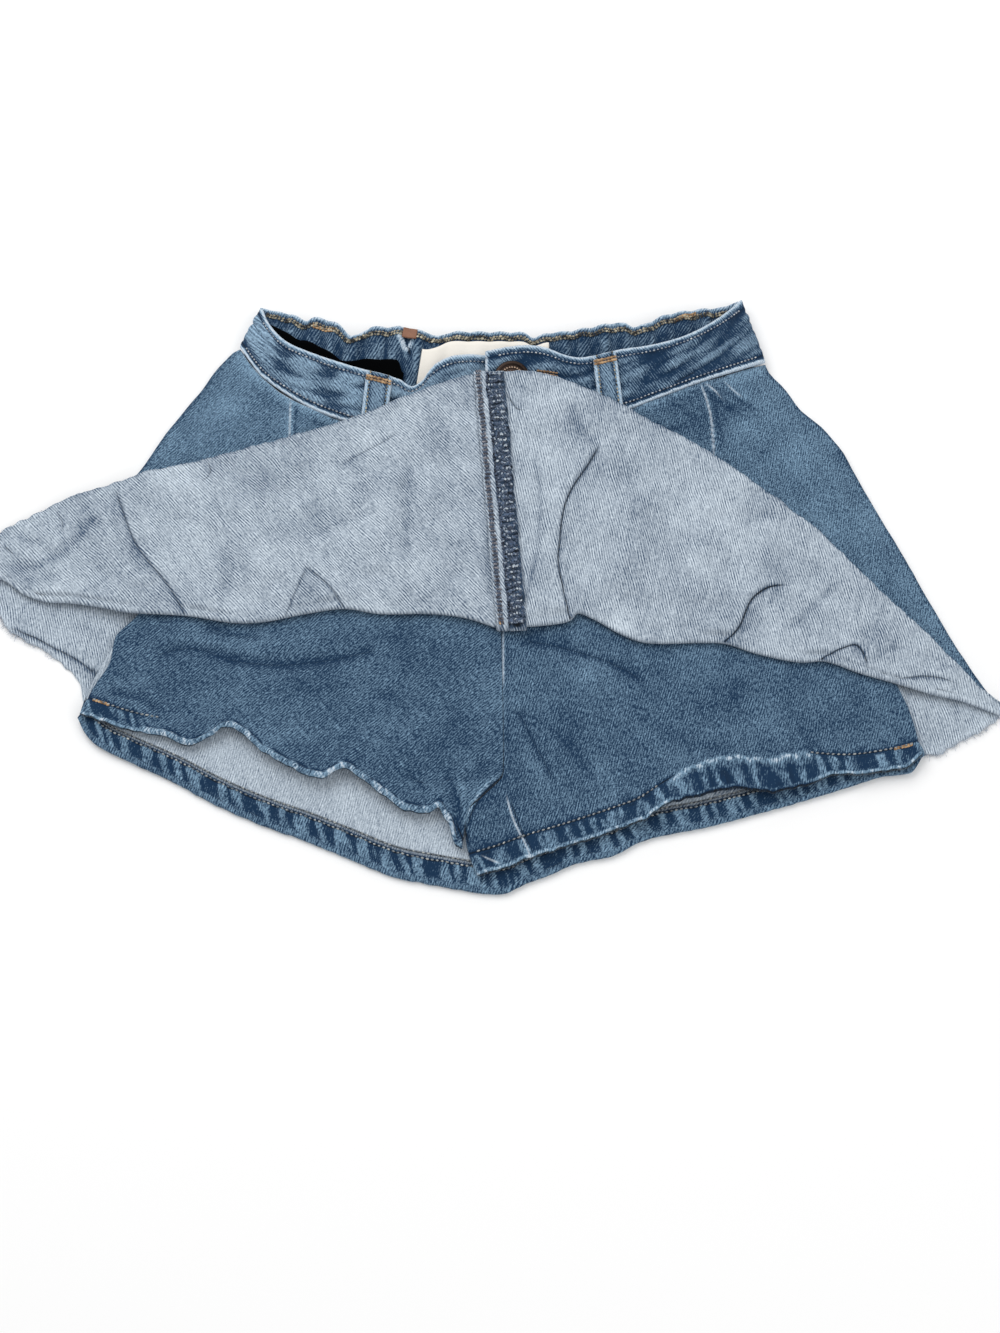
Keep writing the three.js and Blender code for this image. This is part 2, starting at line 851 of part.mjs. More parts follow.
// The origin is the middle of the part's foot.
const bounds = new THREE.Box3().setFromObject(skort);
const middle = bounds.getCenter(new THREE.Vector3());
for (const mesh of skort.children) {
  mesh.position.sub(new THREE.Vector3(middle.x, middle.y, bounds.min.z));
}

export default skort;
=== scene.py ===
import math
from functools import cache

import bpy
import numpy as np
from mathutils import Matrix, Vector
from mathutils.bvhtree import BVHTree


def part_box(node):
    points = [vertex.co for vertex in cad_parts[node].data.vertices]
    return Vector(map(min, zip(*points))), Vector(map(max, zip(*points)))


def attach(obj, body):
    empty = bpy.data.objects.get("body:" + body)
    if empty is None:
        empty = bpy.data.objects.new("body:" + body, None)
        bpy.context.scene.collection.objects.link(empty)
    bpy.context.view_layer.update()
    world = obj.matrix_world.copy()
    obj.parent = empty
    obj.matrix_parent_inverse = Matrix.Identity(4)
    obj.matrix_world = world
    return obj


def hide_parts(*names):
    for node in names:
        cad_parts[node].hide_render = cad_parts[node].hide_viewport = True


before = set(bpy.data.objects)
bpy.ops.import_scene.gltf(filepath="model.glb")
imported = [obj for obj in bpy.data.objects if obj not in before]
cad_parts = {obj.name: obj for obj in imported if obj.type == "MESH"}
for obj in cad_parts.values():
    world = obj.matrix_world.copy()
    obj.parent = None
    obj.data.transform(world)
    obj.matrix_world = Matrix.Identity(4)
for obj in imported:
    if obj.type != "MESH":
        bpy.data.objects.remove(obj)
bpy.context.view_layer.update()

bl_info = {
    "name": "Denim Skort",
    "version": (1, 0, 0),
    "blender": (4, 5, 0),
    "location": "View3D > Sidebar > Skort",
    "description": "Makes a girls' denim skort laid flat, its skirt front thrown up over the waistband",
    "category": "Object",
}

MM = 0.001
CLOTH_MAP = "cloth"  # the UV map along the weave, in metres

# ---------------------------------------------------------------- surfaces, in millimetres

PATH_STEP = 2.5  # along a fold's path, from one measured point to the next
FADE_LENGTH = 8  # over which a fold fades out at its ends
LINE_REACH = 3.0  # how far across itself a thin line is followed


def smooth(t):
    s = np.clip(t, 0, 1)
    return s * s * (3 - 2 * s)


def rail(*rows):
    """A curve through points, walked from 0 to 1 by its length."""
    p = np.array([(*row, 0.0)[:3] for row in rows], float)
    q = np.vstack([2 * p[0] - p[1], p, 2 * p[-1] - p[-2]])
    t = np.linspace(0, 1, 25)[:-1, None]
    parts = []
    for a, b, c, d in zip(q, q[1:], q[2:], q[3:]):
        k0, k1, k2 = (max(float(((n - m) ** 2).sum()) ** 0.25, 1e-4) for m, n in ((a, b), (b, c), (c, d)))
        start = ((b - a) / k0 - (c - a) / (k0 + k1) + (c - b) / k1) * k1
        end = ((c - b) / k1 - (d - b) / (k1 + k2) + (d - c) / k2) * k1
        parts.append(b + start * t + (3 * (c - b) - 2 * start - end) * t**2
                     + (2 * (b - c) + start + end) * t**3)
    curve = np.vstack([*parts, p[-1:]])
    length = np.r_[0, np.cumsum(np.linalg.norm(np.diff(curve, axis=0), axis=1))]
    share = length / length[-1]

    def at(t):
        return np.stack([np.interp(t, share, curve[:, k]) for k in range(3)], -1)

    at.length = length[-1]
    return at


def shifted(line, x, y):
    return lambda t: line(t) + np.array([x, y, 0.0])


def straight(a, b):
    return lambda t: a + np.asarray(t, float)[..., None] * (b - a)


def both(u, v):
    return np.broadcast_arrays(np.asarray(u, float), np.asarray(v, float))


def patch(far, near, left, right):
    """A surface between four rails. far and near run left to right, left and right run far to near."""
    fl, fr, nl, nr = far(0.0), far(1.0), near(0.0), near(1.0)

    def at(u, v):
        u, v = both(u, v)
        U, V = u[..., None], v[..., None]
        edges = far(u) * (1 - V) + near(u) * V + left(v) * (1 - U) + right(v) * U
        return edges - fl * (1 - U) * (1 - V) - fr * U * (1 - V) - nl * (1 - U) * V - nr * U * V

    return at


def strip(far, near):
    """A surface ruled between two rails, with straight ends."""
    return patch(far, near, straight(far(0.0), near(0.0)), straight(far(1.0), near(1.0)))


def unit(v):
    return v / np.maximum(np.linalg.norm(v, axis=-1, keepdims=True), 1e-9)


def normals(rows):
    """Normals of a grid of points, towards its upper side."""
    return unit(np.cross(np.gradient(rows, axis=0), np.gradient(rows, axis=1)))


def spread(*parts):
    """Steps from 0: each part is (end, count)."""
    steps, start = [np.zeros(1)], 0.0
    for end, count in parts:
        steps.append(np.linspace(start, end, count + 1)[1:])
        start = end
    return np.concatenate(steps)


def ripple(x, y, size, seed, waves=16):
    """A smooth random field of about unit height, with waves about size long."""
    draw = np.random.default_rng(seed).uniform
    turns, lengths, phases = draw(0, 2 * np.pi, waves), size * draw(0.65, 1.6, waves), draw(0, 2 * np.pi, waves)
    total = np.zeros(np.shape(x))
    for turn, long, phase in zip(turns, lengths, phases):
        total += np.sin(2 * np.pi * (x * math.cos(turn) + y * math.sin(turn)) / long + phase)
    return total * math.sqrt(2 / waves)


def bell(x, middle, wide):
    """1 in the middle, fading to 0 on both sides."""
    return np.exp(-(((x - middle) / wide) ** 2))


def beside(x, y, path):
    """Distance from a path, above 0 on its left, and a share that fades out at its ends."""
    line = rail(*path)
    count = max(4, int(line.length / PATH_STEP))
    p = line(np.linspace(0, 1, count + 1))[:, :2]
    apart, side, along = (np.full(np.shape(x), start) for start in (1e6, 0.0, 0.0))
    for k in range(count):
        d = p[k + 1] - p[k]
        fx, fy = x - p[k][0], y - p[k][1]
        t = np.clip((fx * d[0] + fy * d[1]) / (d @ d), 0, 1)
        gap = np.hypot(fx - t * d[0], fy - t * d[1])
        new = gap < apart
        apart = np.where(new, gap, apart)
        side = np.where(new, np.sign(d[0] * fy - d[1] * fx), side)
        along = np.where(new, (k + t) / count, along)
    run_in = min(FADE_LENGTH / line.length, 0.3)
    fade = smooth(along / run_in) * smooth((1 - along) / run_in)
    return apart * np.where(side == 0, 1, side), fade, apart


class Relief:
    """Heights, pale wear and darkening that folds give to a cloth at the points (x, y). The darkening is painted
    shade in hollows, in creases and under laps, with some uneven dye added to it.
    """

    def __init__(self, x, y):
        self.x, self.y, self.lines = x, y, {}
        self.height, self.wear, self.dark = np.zeros((3, *np.shape(x)))

    def line(self, key, across, share):
        """A thin line where across is 0, kept so that it stays sharp between the mesh's points."""
        angle = np.pi * np.clip(across / LINE_REACH, -1, 1)
        near, side = np.where(np.abs(across) < LINE_REACH, np.cos(angle) * share, -1.0), np.sin(angle)
        old_near, old_side = self.lines.get(key, (near, side))
        closer = near > old_near
        self.lines[key] = (np.where(closer, near, old_near), np.where(closer, side, old_side))

    def ridge(self, path, lift, wide, pale=0.0, dark=0.0, crease=0.0, crest=0.0):
        """A rounded fold along a path, a hollow where lift is below 0. dark paints shade along it, crease draws a
        thin painted shade line on it, and crest a thin rubbed pale line.
        """
        d, fade, apart = beside(self.x, self.y, path)
        for key, share in (("crease", crease), ("crest", crest)):
            if share:
                self.line(key, d, share * fade)
        self.height += lift * bell(apart, 0, wide) * fade
        self.wear += pale * bell(apart, 0, wide) * fade
        self.dark += dark * bell(apart, 0, wide * 0.7) * fade

    def lap(self, path, lift, wide, steep=2.5, dark=0.6, pale=0.2, edge=0.8, crease=0.0):
        """The cloth on the path's left stands over its right, with a painted shadow line at the foot and painted
        shade on the lower cloth beside it.
        """
        d, fade, _ = beside(self.x, self.y, path)
        if crease:
            self.line("crease", d + 0.4, crease * fade)
        over = 1 / (1 + np.exp(-np.clip(d / edge, -30, 30)))
        self.height += lift * fade * (over * np.exp(-np.maximum(d, 0) / wide))
        self.height -= 0.25 * lift * fade * (1 - over) * np.exp(-np.maximum(-d, 0) / steep)
        self.dark += dark * fade * bell(d, -0.9 * edge, 1.3 * edge)
        self.dark += 0.35 * dark * fade * (1 - over) * np.exp(-np.maximum(-d, 0) / (1.6 * steep))
        self.wear += pale * fade * bell(d, 1.6 * edge, 1.6 * edge)


# ---------------------------------------------------------------- sizes and rails of the pieces

BAND_STEP = 0.3  # between pieces at a seam
HEM_STEP = 1.0
FOLD_REACH = 2.4
TIP_LEFT, TIP_RIGHT = -250.8, 235.5
GATHERS, GATHER_RISE = 24, 0.8
SHORTS_LENGTH = 190
BAND_DEPTH = 29
BAND_ROWS = 0.125, 0.905  # of stitches, as shares of the waistband's depth
HEM_ROWS_FRONT, HEM_ROWS_BACK = (8.9,), (7.95, 9.95)  # grooves of the stitch rows, from the free edge
FLUTES = 76, 150  # where the hem of the right leg is fluted, across
ROLLED_FROM = -172  # where the hem of the left leg starts to be rolled

band_left = strip(
    rail((-120, 189.4, 6.5), (-116, 179.5, 9), (-107, 168, 12), (-94, 160.4, 14), (-69, 151.2, 14.5),
         (-57, 148.2, 14), (-49, 145.9, 12), (-43.5, 143, 11), (-38, 145.9, 12), (-33, 152.6, 14),
         (-26, 157, 15), (-16, 159.8, 13), (-8, 160.4, 11), (16, 160.6, 11)),
    rail((-130, 168.6, 5), (-124, 158.8, 7), (-117, 149.7, 8), (-94, 133.4, 8.5), (-76, 125.7, 8.5),
         (-59, 120.7, 8.5), (-43, 118.6, 8.5), (-25, 126.2, 8.5), (-14, 130.4, 6.4), (-7, 132.4, 4.6),
         (16, 133.4, 4.6)),
)
band_right = strip(
    rail((-7, 160.4, 15), (2.5, 162.6, 15), (15, 163.8, 15), (24, 162, 15), (31, 158.7, 15), (40, 157, 15),
         (60, 161.5, 15), (74, 163.8, 15), (89.5, 168.5, 14.5), (102, 175.5, 13), (113.4, 185, 10),
         (121.4, 194, 6.5)),
    rail((-7, 132.8, 8.5), (10, 134, 8.5), (30, 131.7, 8.5), (44, 129.5, 8.5), (60, 131.2, 8.5),
         (79, 139, 8.5), (99, 147.2, 8.5), (122, 155.5, 7.5), (132.2, 160, 5)),
)
NOTCHES = ((-98, 2.6, 4), (-73.5, 7, 6), (-31, 2.6, 4), (17.5, 2.8, 4), (68, 2.4, 6))
back_edge = rail((-120.4, 191.2, 3.4), (-113.5, 188.2, 5.5), (-104, 185.6, 7), (-92, 183.4, 8),
                 (-84, 181.4, 8), (-60, 178, 8), (-50, 177.8, 8), (-38, 175.5, 8), (-20, 175.2, 8),
                 (5, 175, 8), (30, 175, 8), (45, 177.6, 8), (58, 180.4, 8), (74, 181, 8), (84, 185, 8),
                 (101, 188.2, 7.5), (112, 190.4, 5.5), (120, 194.8, 3.4))
back_seam = rail((-127.5, 168, 2), (-118, 158, 1.7), (-100, 150, 1.6), (-60, 147, 1.6), (0, 147, 1.6),
                 (60, 149, 1.6), (100, 157, 1.6), (121, 160, 1.7), (130, 160.5, 2))


def back_top(t):
    point = back_edge(t)
    for x, depth, width in NOTCHES:
        point[..., 1] -= depth * bell(point[..., 0], x, width)
    return point


band_back_plain = strip(back_top, back_seam)


def band_back(u, v):
    u, v = both(u, v)
    point = band_back_plain(u, v)
    ends = smooth(u / 0.08) * smooth((1 - u) / 0.08)
    point[..., 2] += GATHER_RISE * np.cos(2 * np.pi * GATHERS * u) * ends * smooth((1 - v) * 1.6)
    return point


CROTCH = ((0, 127), (0, 60), (1, 0), (1.6, -50), (0.9, -56), (-7.4, -65), (-15.7, -73.6))
thigh_left = rail(*CROTCH, (-17.4, -83.2))
thigh_right = rail(*CROTCH, (-16.1, -80.3), (-15.1, -90.7), (-10.1, -103.6))
front_hem_left = rail((-196.8, -26, 6.4), (-174, -33.8, 6.4), (-156.7, -37.4, 6.6), (-144.7, -41.7, 7),
                      (-135.4, -37.6, 7.5), (-128.5, -33.5, 8.5), (-121.3, -35.6, 9), (-111.6, -44.4, 9.3),
                      (-97.4, -53, 9.3), (-83.4, -58.4, 9.3), (-72, -53.9, 9.3), (-62.5, -59.8, 9.3),
                      (-53, -67, 9), (-43.8, -73.6, 8.5), (-32.2, -74.8, 8), (-27.7, -72.4, 8),
                      (-24.4, -78, 7.2), (-17.4, -83.2, 6.2))
front_hem_right = rail((-10.1, -103.6, 6), (2.3, -99.7, 6), (10.5, -96.5, 6.2), (36.3, -87.9, 6.2),
                       (58, -80.3, 7.2), (67.2, -76.6, 8), (79.3, -68.1, 8.5), (94.8, -59.6, 9),
                       (107.4, -56.2, 9), (126, -57.4, 8), (141.5, -54.8, 7.5), (165, -55.8, 6.6),
                       (188, -52.3, 6.4), (196.4, -50.1, 6.4))
thigh_back = rail((0, 146.2), (0, 40), (0, -50), (-4.6, -80), (-8.8, -110.5))
back_hem_left = rail((-198, -27), (-193.5, -35), (-187, -40.8), (-173.6, -47.4), (-152.5, -57.2),
                     (-131.5, -68.6), (-111, -77.8), (-90, -85.6), (-69.5, -94.1), (-49, -102.6), (-28, -107),
                     (-8.8, -110.5))
back_hem_right = rail((-8.8, -110.5), (2, -110.6), (11.5, -106), (21.6, -102.2), (31.7, -97.6), (42, -94.8),
                      (52, -92.8), (62.3, -87.2), (72.6, -83.7), (93, -79.6), (113.6, -74.3), (145, -65.3),
                      (165.5, -58.8), (176, -55.6), (198.2, -52.8))


def shorts_front(far, hem, left, right, side_at):
    flat = patch(far, hem, left, right)

    def at(u, v):
        u, v = both(u, v)
        point = flat(u, v)
        rest = 3.7 + 1.3 * smooth(np.abs(u - side_at) / 0.14)
        point[..., 2] = rest + (hem(u)[..., 2] - rest) * v**6
        return point

    return at


def shorts_back(far, hem, left, right, side_at):
    flat = patch(far, hem, left, right)

    def at(u, v):
        u, v = both(u, v)
        point = flat(u, v)
        point[..., 2] = 2.3 - 1.55 * smooth((v - 0.94) / 0.06) * smooth(np.abs(u - side_at) / 0.3)
        return point

    return at


SHORTS = {
    "shorts_front_left": shorts_front(
        rail((-108, 134), (-76, 122), (-43, 115.5), (-20, 122), (0, 127)), front_hem_left,
        rail((-108, 134), (-150, 80), (-172.3, 25.8), (-182.6, 14), (-185, 0), (-191.2, -12), (-196.8, -26)),
        shifted(thigh_left, -BAND_STEP, BAND_STEP), 0),
    "shorts_front_right": shorts_front(
        rail((0, 127), (30, 126), (60, 125.5), (90, 137), (110, 146)), front_hem_right,
        shifted(thigh_right, BAND_STEP, -BAND_STEP),
        rail((110, 146), (150, 80), (176, 20), (186.6, -8.6), (193, -27), (196.4, -50.1)), 1),
    "shorts_back_left": shorts_back(
        rail((-106, 149.5), (-80, 146.8), (0, 146.2)), back_hem_left,
        rail((-106, 149.5), (-150, 84), (-172, 26), (-186, 6), (-194.6, -13.5), (-198, -27)),
        shifted(thigh_back, -BAND_STEP / 2, 0), 0),
    "shorts_back_right": shorts_back(
        rail((0, 146.2), (60, 147), (106, 156)), back_hem_right,
        shifted(thigh_back, BAND_STEP / 2, 0),
        rail((106, 156), (150, 84), (178, 20), (190, -12), (198.2, -52.8)), 1),
}

skirt_back_flat = patch(
    rail((-127.8, 167.4), (-118, 157.2), (-100, 149.2), (-60, 146.2), (0, 146.2), (60, 148.2), (100, 156.2),
         (121, 159.2), (130, 159.6)),
    rail((-250.6, 42), (-240, 24.7), (-232, 15.7), (-216.5, 7.5), (-207.4, 0), (-199.5, -8), (-195.8, -21),
         (-186, -30), (-150, -46), (-100, -68), (-50, -88), (0, -96), (50, -82), (100, -64), (150, -50),
         (186, -42), (204, -45), (212, -40), (225.6, -33.2), (236.6, -24.4)),
    rail((-127.8, 167.4), (-133, 165.4), (-141, 156.4), (-148, 145.3), (-156, 134.2), (-163.3, 123.2),
         (-169.8, 112.3), (-176.5, 101.2), (-204, 69.4), (-227, 52.4),
         (-250.6, 42)),
    rail((130, 159.6), (138, 149.8), (141.7, 145.4), (148.5, 134.4), (159.3, 123.4), (167.6, 112.4),
         (172.4, 101.6), (182.6, 80), (193.2, 58.2), (202.9, 37.2), (212.5, 16.6), (223, -3.4), (236.6, -24.4)),
)


def skirt_panel(seam, fold, hem, side, left_handed):
    """w runs from the waist seam to the fold at 1, round it to 2, and back over to the raw hem at 3."""
    low = shifted(fold, 0, FOLD_REACH)

    def high(u):
        point = low(u)
        point[..., 2] += 1.7 + 0.6 * smooth(np.minimum(point[..., 0] - TIP_LEFT,
                                                       TIP_RIGHT - point[..., 0]) / 45)
        return point

    if left_handed:
        under = patch(seam, low, side, straight(seam(1.0), low(1.0)))
    else:
        under = patch(seam, low, straight(seam(0.0), low(0.0)), side)
    over = strip(high, hem)
    apart = (-BAND_STEP if left_handed else BAND_STEP) / 2

    def at(u, w):
        u, w = both(u, w)
        turn = (np.pi * np.clip(w - 1, 0, 1))[..., None]
        flat = np.sign(np.cos(turn)) * np.abs(np.cos(turn)) ** 0.6  # a pressed fold, flatter than a round one
        point = low(u) + (high(u) - low(u)) * (1 - flat) / 2
        point[..., 1] -= FOLD_REACH * np.sin(turn[..., 0]) ** 0.6
        point = np.where((w <= 1)[..., None], under(u, np.clip(w, 0, 1)), point)
        point = np.where((w >= 2)[..., None], over(u, np.clip(w - 2, 0, 1)), point)
        point[..., 0] += apart
        return point

    return at


PANELS = {
    "skirt_front_left": skirt_panel(
        rail((-130.2, 167.8, 3.4), (-124.4, 158.2, 5.8), (-117.2, 149.2, 7.2), (-106.7, 140, 7.9),
             (-94.2, 132.9, 7.9), (-76.3, 125.2, 7.9), (-59.2, 120.2, 7.9), (-43.2, 118.1, 7.9),
             (-24.8, 125.7, 7.9), (-12, 129.8, 7.9), (-1.5, 131.6, 7.9)),
        rail((TIP_LEFT, 42.4, 2.9), (-240, 43.6, 3), (-228.4, 35.9, 3.2), (-218, 31.9, 3.6),
             (-205, 30.7, 4.6), (-192, 28.4, 5.6), (-178, 25.4, 6.4), (-149, 23.3, 7), (-126, 19.7, 7),
             (-111.7, 20.3, 7), (-95, 23.8, 7), (-74, 26.9, 7), (-57, 24.3, 7), (-33, 24.3, 7),
             (-16.7, 22.3, 7), (-1.5, 17.2, 7)),
        rail((-249.7, 52, 4.6), (-242, 67.6, 4), (-228, 75.4, 4.5), (-215, 82.4, 6), (-194.4, 89.6, 8),
             (-175.3, 96, 9.5), (-146.4, 102.9, 10.5), (-122, 109.7, 11), (-103, 115.2, 11.8),
             (-76, 123.3, 13.4), (-60, 128.6, 16), (-49, 133.6, 16), (-29.5, 141.6, 17),
             (-12.8, 145.8, 18.5)),
        rail((-130.2, 167.8, 3.4), (-133.4, 166.2, 2.6), (-141.3, 156.8, 2.4), (-148.3, 145.7, 2.4),
             (-156.2, 134.6, 2.4), (-163.5, 123.6, 2.4), (-170, 112.7, 2.4), (-176.8, 101.5, 2.4),
             (-204.3, 69.5, 2.4), (-227.2, 53.4, 2.6), (TIP_LEFT, 44.8, 2.9)),
        True),
    "skirt_front_right": skirt_panel(
        rail((-1.5, 131.6, 7.9), (10, 133.4, 7.9), (30, 131.2, 7.9), (44, 129, 7.9), (60, 130.7, 7.9),
             (79.1, 138.5, 7.9), (99.2, 146.7, 7.9), (122, 154.9, 6.4), (132.4, 159.2, 3.4)),
        rail((-1.5, 17.2, 7), (19, 18.2, 7), (33, 20.8, 7), (36.7, 24.5, 7), (45, 21.3, 7), (57, 14.1, 7),
             (69, 9.6, 7), (95, 9.6, 7), (106.6, 9.1, 7), (121.5, 4, 7), (141.7, -0.3, 7),
             (153.5, 0.2, 6.9), (170, -5.7, 6.5), (186, -10.3, 5.7), (203.5, -15.5, 4.4),
             (217.6, -18.6, 3.5), (TIP_RIGHT, -25.6, 2.9)),
        rail((-12.8, 145.8, 18.5), (0, 147.3, 18.6), (9.8, 147.4, 18.5), (24.6, 145.5, 18),
             (49, 135.8, 16.5), (73.5, 123.2, 13.5), (97.7, 109.2, 12), (126.3, 88.2, 11),
             (154.2, 64.1, 10.5), (177, 38.8, 10), (204, 11.5, 8), (227.8, -14.4, 6), (236.2, -21.2, 5.2)),
        rail((132.4, 159.2, 3.4), (134, 155.4, 2.6), (138.5, 150, 2.4), (142, 145.8, 2.4), (148.8, 134.7, 2.4),
             (159.7, 123.7, 2.4), (168, 112.7, 2.4), (172.8, 102, 2.4), (183, 80.3, 2.4), (193.6, 58.5, 2.4),
             (203.3, 37.5, 2.4), (212.9, 17, 2.4), (223.5, -3, 2.4), (TIP_RIGHT, -23.2, 2.9)),
        False),
}

# From the rails' frame to the part's, in millimetres: the back of the skirt lies at the same place.
low, high = (np.array(c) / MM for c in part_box("skirt_back"))
SHIFT = np.array([low[0] + 250.6, high[1] - 167.4, 0.0])

# ---------------------------------------------------------------- settings


def colour(*rgb):
    """Scene-linear values of a screen colour."""
    shares = (value / 255 for value in rgb)
    return tuple(s / 12.92 if s <= 0.04045 else ((s + 0.055) / 1.055) ** 2.4 for s in shares)


def number(name, description, default, **kind):
    return bpy.props.FloatProperty(name=name, description=description, default=default, **kind)


def length(name, description, default):
    return number(name, description, default, min=0, unit="LENGTH", subtype="DISTANCE", precision=5)


def tint(name, description, *default):
    return bpy.props.FloatVectorProperty(name=name, description=description, default=colour(*default), size=3,
                                         min=0, max=1, subtype="COLOR")


class SkortCloth(bpy.types.PropertyGroup):
    thickness: length("Cloth", "Thickness of one layer of denim", 1.2 * MM)
    band: length("Waistband", "Thickness of the doubled waistband", 2.6 * MM)
    loop: length("Belt loop", "Thickness of a belt loop", 1.8 * MM)
    trim: length("Trim", "Thickness of the label, patch and facing", 1.0 * MM)
    allowance: length("Seam allowance", "Thickness of the overlocked allowance", 1.6 * MM)
    hem: length("Hem depth", "Depth of the turned hem of the shorts", 9 * MM)
    twill: length("Twill pitch", "From one twill line to the next", 1.15 * MM)


class SkortColours(bpy.types.PropertyGroup):
    face_dark: tint("Indigo", "Warp yarn where the dye is full", 20, 48, 76)
    face_pale: tint("Washed indigo", "Warp yarn where the dye is rubbed off", 146, 180, 206)
    wrong_dark: tint("Weft shade", "Dark specks of the wrong side", 54, 76, 102)
    wrong_pale: tint("Weft", "Pale weft of the wrong side", 216, 228, 238)
    bare: tint("Bare cotton", "Yarn that has lost its dye, at edges", 206, 216, 226)
    gold: tint("Gold thread", "Topstitching", 200, 190, 166)
    orange: tint("Orange thread", "Bar tacks", 214, 178, 136)
    pink: tint("Seam thread", "Rows of the centre seam", 158, 157, 163)
    overlock: tint("Overlock thread", "Loops round the allowance", 206, 216, 222)
    label: tint("Label", "Woven label", 244, 239, 230)
    leather: tint("Patch", "Waist patch", 150, 104, 80)
    # colour of the flat black sheet over the lower back waistband
    facing: tint("Facing", "Black facing", 2, 3, 4)
    metal: tint("Button", "Dark aged metal", 74, 60, 54)


class SkortStitching(bpy.types.PropertyGroup):
    pitch: number("Stitch pitch", "Pitch of every row, as a share of its own", 1.0, min=0.1)
    thread: number("Thread", "Thickness of every thread, as a share of its own", 1.0, min=0.1)
    fibre: length("Fibre", "Length of the fibres at the raw hem of the skirt front", 1.1 * MM)
    fray: length("Fray", "Length of the fibres at the raw hem of the skirt back", 3.4 * MM)
    seed: bpy.props.IntProperty(name="Seed", description="Seed of all that is random", default=7, min=0)


class SkortStage(bpy.types.PropertyGroup):
    elevation: number("Elevation", "Camera above the surface", math.radians(70), subtype="ANGLE",
                      unit="ROTATION")
    distance: length("Distance", "Camera to the middle of the skort", 1.0)
    lens: number("Lens", "Focal length in millimetres", 56.71, subtype="DISTANCE_CAMERA", unit="CAMERA")
    floor: tint("Floor", "Surface that the skort lies on", 250, 250, 250)
    key: number("Key light", "Power of the main soft light", 13.0, min=0, subtype="POWER", unit="POWER")
    fill: number("Surrounding light", "Brightness of the surroundings", 0.62, min=0)


SETTINGS = {"skort_cloth": SkortCloth, "skort_colours": SkortColours, "skort_stitching": SkortStitching,
            "skort_stage": SkortStage}

# ---------------------------------------------------------------- shader nodes


class Tree:
    """A short way to add nodes to a tree and join them."""

    def __init__(self, tree):
        self.tree = tree

    def put(self, socket, value):
        if isinstance(value, bpy.types.NodeSocket):
            self.tree.links.new(value, socket)
        elif value is not None:
            socket.default_value = value

    def node(self, kind, inputs=None, **settings):
        node = self.tree.nodes.new(kind)
        for key, value in settings.items():
            setattr(node, key, value)
        for key, value in (inputs or {}).items():
            self.put(node.inputs[key], value)
        return node

    def first(self, kind, inputs=None, **settings):
        return self.node(kind, inputs, **settings).outputs[0]

    def math(self, operation, *values, clamp=False):
        return self.first("ShaderNodeMath", dict(enumerate(values)), operation=operation, use_clamp=clamp)

    def times(self, a, b):
        return self.math("MULTIPLY", a, b)

    def fit(self, value, scale, plus, clamp=False):
        return self.math("MULTIPLY_ADD", value, scale, plus, clamp=clamp)

    def total(self, *terms):
        """The sum of (value, weight) pairs and plain numbers."""
        result = None
        for term in terms:
            value = self.times(*term) if isinstance(term, tuple) else term
            result = value if result is None else self.math("ADD", result, value)
        return result

    def vector(self, x=None, y=None, z=None):
        return self.first("ShaderNodeCombineXYZ", {"X": x, "Y": y, "Z": z})

    def parts(self, vector):
        return self.node("ShaderNodeSeparateXYZ", {0: vector}).outputs

    def noise(self, vector, scale, detail=2.0, roughness=0.5):
        inputs = {"Vector": vector, "Scale": scale, "Detail": detail, "Roughness": roughness}
        return self.first("ShaderNodeTexNoise", inputs)

    def mix(self, factor, a, b):
        """From one colour to another, each a socket or three values."""
        a, b = (c if isinstance(c, bpy.types.NodeSocket) else (*c, 1) for c in (a, b))
        return self.node("ShaderNodeMix", {0: factor, 6: a, 7: b}, data_type="RGBA").outputs[2]

    def painted(self, name):
        return self.node("ShaderNodeAttribute", attribute_name=name).outputs["Fac"]

    def cloth(self):
        return self.first("ShaderNodeUVMap", uv_map=CLOTH_MAP)

    def place(self):
        return self.node("ShaderNodeTexCoord").outputs["Object"]

    def bump(self, height, strength, distance):
        return self.first("ShaderNodeBump", {"Height": height, "Strength": strength, "Distance": distance})

    def use(self, group, **inputs):
        return self.node("ShaderNodeGroup", inputs, node_tree=group).outputs


def new_group(kind, name, inputs, outputs):
    """A node group with named sockets, each (name, kind, default)."""
    group = bpy.data.node_groups.new(name, kind)
    for way, sockets in (("INPUT", inputs), ("OUTPUT", outputs)):
        for key, socket_kind, *default in sockets:
            socket = group.interface.new_socket(key, in_out=way, socket_type=f"NodeSocket{socket_kind}")
            if default:
                socket.default_value = default[0]
    t = Tree(group)
    return group, t, t.node("NodeGroupInput").outputs, t.node("NodeGroupOutput").inputs


def mask_group(name, vectors, numbers, outputs):
    """A shader group that takes vectors and numbers and gives masks."""
    inputs = [(key, "Vector") for key in vectors] + [(key, "Float", value) for key, value in numbers.items()]
    return new_group("ShaderNodeTree", name, inputs, [(key, "Float") for key in outputs])


